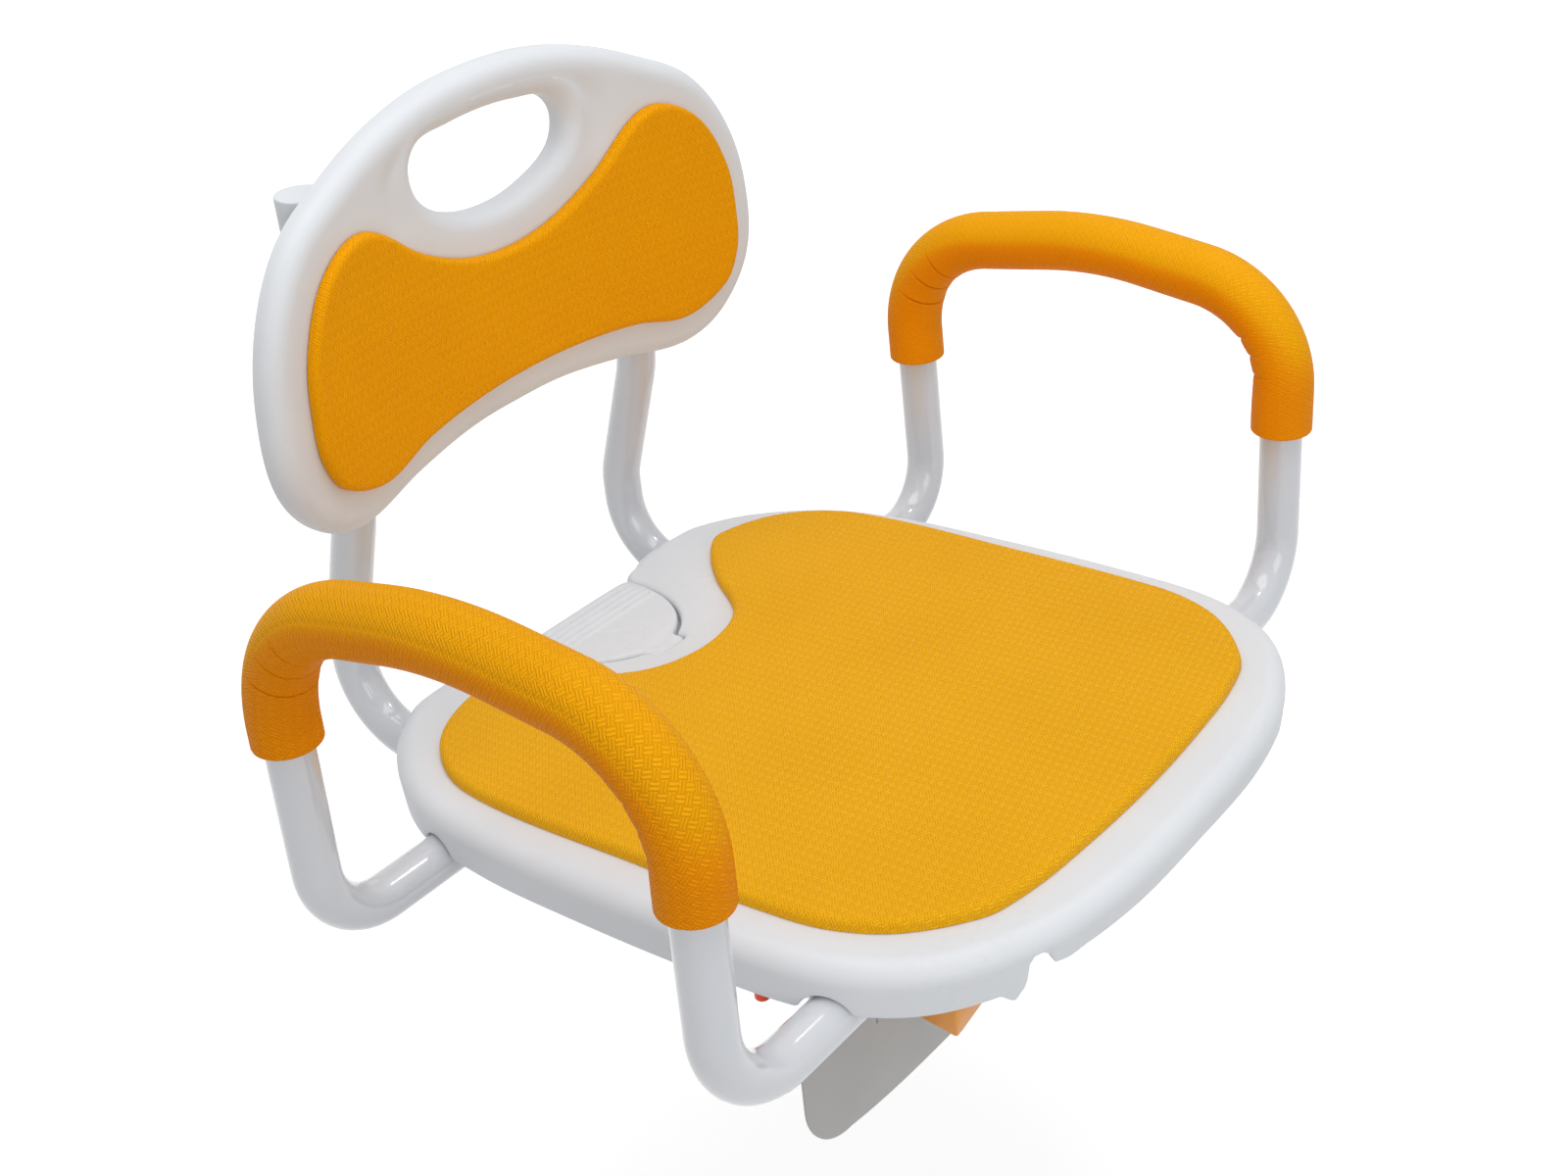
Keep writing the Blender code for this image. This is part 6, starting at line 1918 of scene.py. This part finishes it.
class SteelWork:
    """The rigid pieces under the seat: close copies of the solids with softened edges."""

    EDGE = 0.0005
    COPIES: dict[Body, dict[Finish, tuple[str, ...]]] = {
        Body.BASE: {
            BRIGHT_STEEL: ("mount_plate", "index_ring", "spindle", "spindle_washer", "spindle_nut"),
            WHITE_MOULDING: ("bearing_hub",),
            BLACK_POLYMER: ("thrust_bearing",),
        },
        Body.SEAT: {
            BRIGHT_STEEL: ("turntable_plate", "centre_rail_left", "centre_rail_right", "side_rail_left",
                           "side_rail_right", "shaft_lug_left", "shaft_lug_right", "latch_guide",
                           "front_lever_axle", "lever_spring"),
            BLACK_POLYMER: ("pivot_bushing", "rod_hanger"),
        },
        Body.RELEASE: {BRIGHT_STEEL: ("release_shaft",)},
        Body.LATCH: {BRIGHT_STEEL: ("latch_bolt",)},
    }

    def build(self) -> None:
        """Make every copy."""
        for body, finishes in self.COPIES.items():
            for finish, nodes in finishes.items():
                for node in nodes:
                    self.copy(node, finish, body)

    @classmethod
    def copy(cls, node: str, finish: Finish, body: Body, change: Change | None = None) -> None:
        """Make one piece after its solid, with merged faces and softened edges.

        Args:
            node: The CAD node.
            finish: The piece's surface finish.
            body: The body that it rides on.
            change: Where given, moves each point before the edges are softened.
        """
        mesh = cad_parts[node].data.copy()
        tidy_mesh(mesh, change, flatten=True)
        item = placed(f"{node}_part", mesh)
        bevel = item.modifiers.new("edge", "BEVEL")
        bevel.width = cls.EDGE
        bevel.segments = 2
        bevel.limit_method = "ANGLE"
        bevel.angle_limit = math.radians(40)
        bevel.use_clamp_overlap = True
        piece = baked(item)
        piece.data.shade_smooth()
        piece.data.set_sharp_from_angle(angle=math.radians(50))
        fasten(piece, finish, body, node)


@dataclass(frozen=True)
class FrontLever:
    """The orange lever: its solid with a tall front that slants up towards the middle."""

    left: float = -0.1605
    new_left: float = -0.1572
    right: float = -0.1040
    front: float = -0.1705
    back: float = -0.1480
    under: float = 0.0360
    top: float = 0.0420
    near: float = 0.0003
    corner: float = 0.0050
    corner_share: float = 0.40
    new_under: float = 0.0332
    rise_across: float = 0.22
    rise_back: float = 0.17
    new_top: float = 0.0580
    top_fall: float = 0.36

    def changed(self, point: Vector) -> Vector:
        """Move a point of the solid's paddle; others stay.

        Args:
            point: The point's place.

        Returns:
            Its new place.
        """
        x, y, z = point
        on_top, on_under = abs(z - self.top) <= self.near, abs(z - self.under) <= self.near
        if not self.front - self.near <= y <= self.back + self.near or not (on_top or on_under):
            return point
        if x < self.left + 0.008 and y > self.back - 0.0005:
            x = self.left
        if x < self.left + self.corner and y < self.front + self.corner:
            x = self.left + (x - self.left) * self.corner_share
            y = self.front + (y - self.front) * self.corner_share
        share = (x - self.left) / (self.right - self.left)
        x = self.new_left + share * (self.right - self.new_left)
        if on_top:
            return Vector((x, y, self.new_top - self.top_fall * (y - self.front)))
        rise = self.rise_across * (x - self.new_left) + self.rise_back * (y - self.front)
        return Vector((x, y, self.new_under + rise))

    def build(self) -> None:
        """Make the lever."""
        SteelWork.copy("front_lever", ORANGE_LEVER, Body.FRONT_LEVER, self.changed)


@dataclass(frozen=True)
class ScrewSet:
    """Like screws on one body, and whether their heads sit on the leaning back tubes."""

    name: str
    count: int
    axis: Point
    body: Body
    head_radius: float
    head_height: float
    shank_radius: float
    on_uprights: bool = False

    def nodes(self) -> list[str]:
        """Return the screws' nodes."""
        return [f"{self.name}_{number}" for number in range(1, self.count + 1)]


class Screws:
    """All the screws and bolts, made by one Geometry Nodes tree from their places."""

    SETS = (
        ScrewSet("index_screw", 4, (0.0, 0.0, -1.0), Body.BASE, 0.0046, 0.0022, 0.0024),
        ScrewSet("turntable_bolt", 4, (0.0, 0.0, 1.0), Body.SEAT, 0.0050, 0.0030, 0.0028),
        ScrewSet("seat_screw", 4, (0.0, 0.0, 1.0), Body.SEAT, 0.0050, 0.0035, 0.0028),
        ScrewSet("backrest_screw", 4, (0.0, -1.0, 0.0), Body.SEAT, 0.0055, 0.0030, 0.0028, on_uprights=True),
        ScrewSet("guard_screw", 2, (0.0, -1.0, 0.0), Body.SEAT, 0.0060, 0.0030, 0.0025),
    )

    def __init__(self) -> None:
        """Build the tree: a domed head with a cross recess and a plain shank, on every point."""
        sizes = {"Head Radius": 0.005, "Head Height": 0.003, "Shank Radius": 0.0028, "Shank Length": 0.02}
        self.tree = tree = GeometryTree("cross_head_screw", {**sizes, "Axis": (0.0, 0.0, 1.0)})
        given = tree.given
        height, radius, length = given["Head Height"], given["Head Radius"], given["Shank Length"]

        def scaled(value: Socket, factor: float) -> Socket:
            """Return a value times a factor."""
            return tree.node("ShaderNodeMath", {0: value, 1: factor}, operation="MULTIPLY").outputs[0]

        def moved(mesh: Socket, up: Socket) -> Socket:
            """Return a mesh moved along its own axis."""
            offset = tree.node("ShaderNodeCombineXYZ", {"Z": up}).outputs[0]
            return tree.step("Transform", {"Geometry": mesh, "Translation": offset})

        def turned_over(mesh: Socket) -> Socket:
            """Return a mesh turned end over end about X."""
            return tree.step("Transform", {"Geometry": mesh, "Rotation": (math.pi, 0.0, 0.0)})

        low = {"Vertices": 28, "Radius": radius, "Depth": scaled(height, 0.6)}
        top = scaled(radius, 0.72)
        dome = {"Vertices": 28, "Radius Top": top, "Radius Bottom": radius, "Depth": scaled(height, 0.4)}
        shank = {"Vertices": 20, "Radius": given["Shank Radius"], "Depth": length}
        head = tree.node("GeometryNodeMeshBoolean", operation="UNION")
        for kind, inputs, up in (("Cylinder", low, scaled(height, -0.3)), ("Cone", dome, scaled(height, 0.6)),
                                 ("Cylinder", shank, scaled(length, 0.5))):
            solid = moved(tree.step(f"Mesh{kind}", inputs), up)
            tree.link(turned_over(solid) if kind == "Cone" else solid, head.inputs["Mesh 2"])
        cross = tree.node("GeometryNodeJoinGeometry")
        for long, wide in ((1.15, 0.26), (0.26, 1.15)):
            sides = {"X": scaled(radius, long), "Y": scaled(radius, wide), "Z": height}
            bar = tree.step("MeshCube", {"Size": tree.node("ShaderNodeCombineXYZ", sides).outputs[0]})
            tree.link(moved(bar, scaled(height, -1.0)), cross.inputs[0])
        cut = tree.node("GeometryNodeMeshBoolean", {"Mesh 1": head.outputs[0]}, operation="DIFFERENCE")
        tree.link(cross.outputs[0], cut.inputs["Mesh 2"])
        facing = tree.node("FunctionNodeAlignRotationToVector", {"Vector": given["Axis"]}, axis="Z")
        spread = {"Points": given["Geometry"], "Instance": cut.outputs[0], "Rotation": facing.outputs[0]}
        tree.finish(tree.step("InstanceOnPoints", spread))

    def build(self, uprights: Uprights) -> None:
        """Make every set, each screw's place read from its own solid.

        Args:
            uprights: The back tubes, whose rear faces the backrest's screws meet.
        """
        for screws in self.SETS:
            axis = Vector(screws.axis)
            places, length = [], 0.0
            for node in screws.nodes():
                low, middle, high = box_of(node)
                size = abs((high - low).dot(axis))
                place = middle - axis * (size / 2 - screws.head_height)
                if screws.on_uprights:
                    place.x = math.copysign(FRAME.upright_x, place.x)
                    place.y = uprights.place_at(place.z) + FRAME.tube_radius + FRAME.gap
                places.append(place)
                length = size - screws.head_height
            sizes = {"Head Radius": screws.head_radius, "Head Height": screws.head_height,
                     "Shank Radius": screws.shank_radius, "Shank Length": length, "Axis": screws.axis}
            made = self.tree.apply(points_object(f"{screws.name}s", places), BRIGHT_STEEL, sizes)
            fasten(made, BRIGHT_STEEL, screws.body, *screws.nodes())


@dataclass(frozen=True)
class ArmLock:
    """One red push button under a side bar."""

    side: Side
    radius: float = 0.0043
    dome: float = 0.55

    def build(self) -> None:
        """Make the domed button after its solid's place."""
        node = f"arm_button_{self.side.word}"
        low, middle, high = box_of(node)
        rise = self.dome * self.radius
        turns = np.linspace(0, math.pi / 2, 10)[1:]
        profile = [(self.radius * math.sin(turn), rise * (1 - math.cos(turn))) for turn in turns]
        data = MeshData()
        place = Matrix.Translation((middle.x, middle.y, low.z))
        data.add_turned(profile + [(self.radius, high.z - low.z)], 40, place)
        body = Body.LOCK_LEFT if self.side is Side.LEFT else Body.LOCK_RIGHT
        fasten(data.build(f"lock_button_{self.side.word}"), RED_BUTTON, body, node)


@dataclass(frozen=True)
class Lamp:
    """One square lamp of the studio, aimed at the seat."""

    name: str
    place: Point
    size: float
    power: float
    on_surfaces: bool = True
    aim: Point = (0.0, 0.0, 0.15)

    def build(self) -> None:
        """Place the lamp."""
        light = bpy.data.lights.new(self.name, "AREA")
        light.energy = self.power
        light.size = self.size
        item = placed(self.name, light)
        item.location = self.place
        item.visible_diffuse = self.on_surfaces
        item.rotation_euler = (Vector(self.aim) - Vector(self.place)).to_track_quat("-Z", "Y").to_euler()


@dataclass(frozen=True)
class Studio:
    """The pale floor, the soft lights and the camera."""

    location: Point = (-0.8234, -0.6431, 0.7328)
    azimuth: float = math.radians(-50.15)
    elevation: float = math.radians(28.03)
    roll: float = math.radians(-5.83)
    lens: float = 47.59
    floor_height: float = -0.35
    floor_size: float = 14.0
    floor_shades: tuple[Colour, Colour] = ((0.60, 0.60, 0.60), (0.62, 0.62, 0.62))
    near_glow: float = 0.62
    far_glow: float = 0.86
    ambient: float = 0.54
    lamps: tuple[Lamp, ...] = (
        Lamp("key", (-0.1, -0.2, 2.4), 1.8, 26.0),
        Lamp("fill", (-1.1, -1.9, 0.8), 1.3, 10.5),
        Lamp("spark", (0.95, -0.55, 1.85), 0.07, 6.0, on_surfaces=False),
    )

    def build(self) -> None:
        """Make the whole studio."""
        self.build_camera()
        self.build_floor()
        for lamp in self.lamps:
            lamp.build()
        self.build_world()
        bpy.context.scene.view_settings.view_transform = "Standard"

    def build_camera(self) -> None:
        """Place the camera by its direction, its roll and its place."""
        around, above, roll = self.azimuth, self.elevation, self.roll
        flat = math.cos(above)
        back = Vector((math.sin(around) * flat, -math.cos(around) * flat, math.sin(above)))
        level = Vector((math.cos(around), math.sin(around), 0.0))
        rise = back.cross(level)
        right = level * math.cos(roll) + rise * math.sin(roll)
        upward = rise * math.cos(roll) - level * math.sin(roll)
        camera = placed("camera", bpy.data.cameras.new("camera"))
        camera.data.lens = self.lens
        camera.data.clip_start = 0.01
        turn = Matrix((right, upward, back)).transposed().to_4x4()
        camera.matrix_world = Matrix.Translation(self.location) @ turn
        bpy.context.scene.camera = camera

    def build_floor(self) -> None:
        """Make a floor that the camera sees as white, with the shadow kept."""
        half, low = self.floor_size / 2, self.floor_height
        data = MeshData()
        corners = [(half * x, half * y, low) for x, y in ((-1, -1), (1, -1), (1, 1), (-1, 1))]
        data.add_face(data.add_points(corners))
        floor = data.build("floor")
        material = bpy.data.materials.new("floor_paper")
        material.use_nodes = True
        shader = ShaderTree(material.node_tree)
        surface = material.node_tree.nodes["Principled BSDF"].inputs
        surface["Roughness"].default_value = 0.9
        surface["Emission Color"].default_value = opaque(WHITE)
        place = shader.node("ShaderNodeTexCoord").outputs["Object"]
        shader.link(shader.mixed(shader.noise(place, 3.0), *self.floor_shades), surface["Base Color"])
        away = shader.node("ShaderNodeVectorMath", {0: place}, operation="LENGTH").outputs["Value"]
        glow = shader.ramp(away, 0.5, 2.4, self.near_glow, self.far_glow)
        shader.link(shader.math("MULTIPLY", shader.seen(), glow), surface["Emission Strength"])
        floor.data.materials.append(material)

    def build_world(self) -> None:
        """Light the seat evenly, and show white where the camera looks past it."""
        world = bpy.data.worlds.new("studio")
        world.use_nodes = True
        shader = ShaderTree(world.node_tree)
        background = world.node_tree.nodes["Background"].inputs
        background["Color"].default_value = opaque(WHITE)
        shader.link(shader.ramp(shader.seen(), 0.0, 1.0, self.ambient, 1.0), background["Strength"])
        bpy.context.scene.world = world


def main() -> None:
    """Build every sub-assembly in order."""
    logging.basicConfig(level=logging.INFO, format="%(message)s")
    Studio().build()
    tubes = BentTubes()
    for side in Side:
        loop = ArmLoop(side)
        loop.build_tube(tubes)
        loop.build_grip()
        ArmLock(side).build()
    uprights = Uprights()
    uprights.build(tubes)
    backrest = Backrest()
    backrest.build_shell(uprights)
    backrest.build_pad()
    for part in (SeatShell(), SeatPad(), ReleaseTongue(), GuardPlate(), Sockets(), SteelWork(), FrontLever()):
        part.build()
    Screws().build(uprights)


if __name__ == "__main__":
    main()
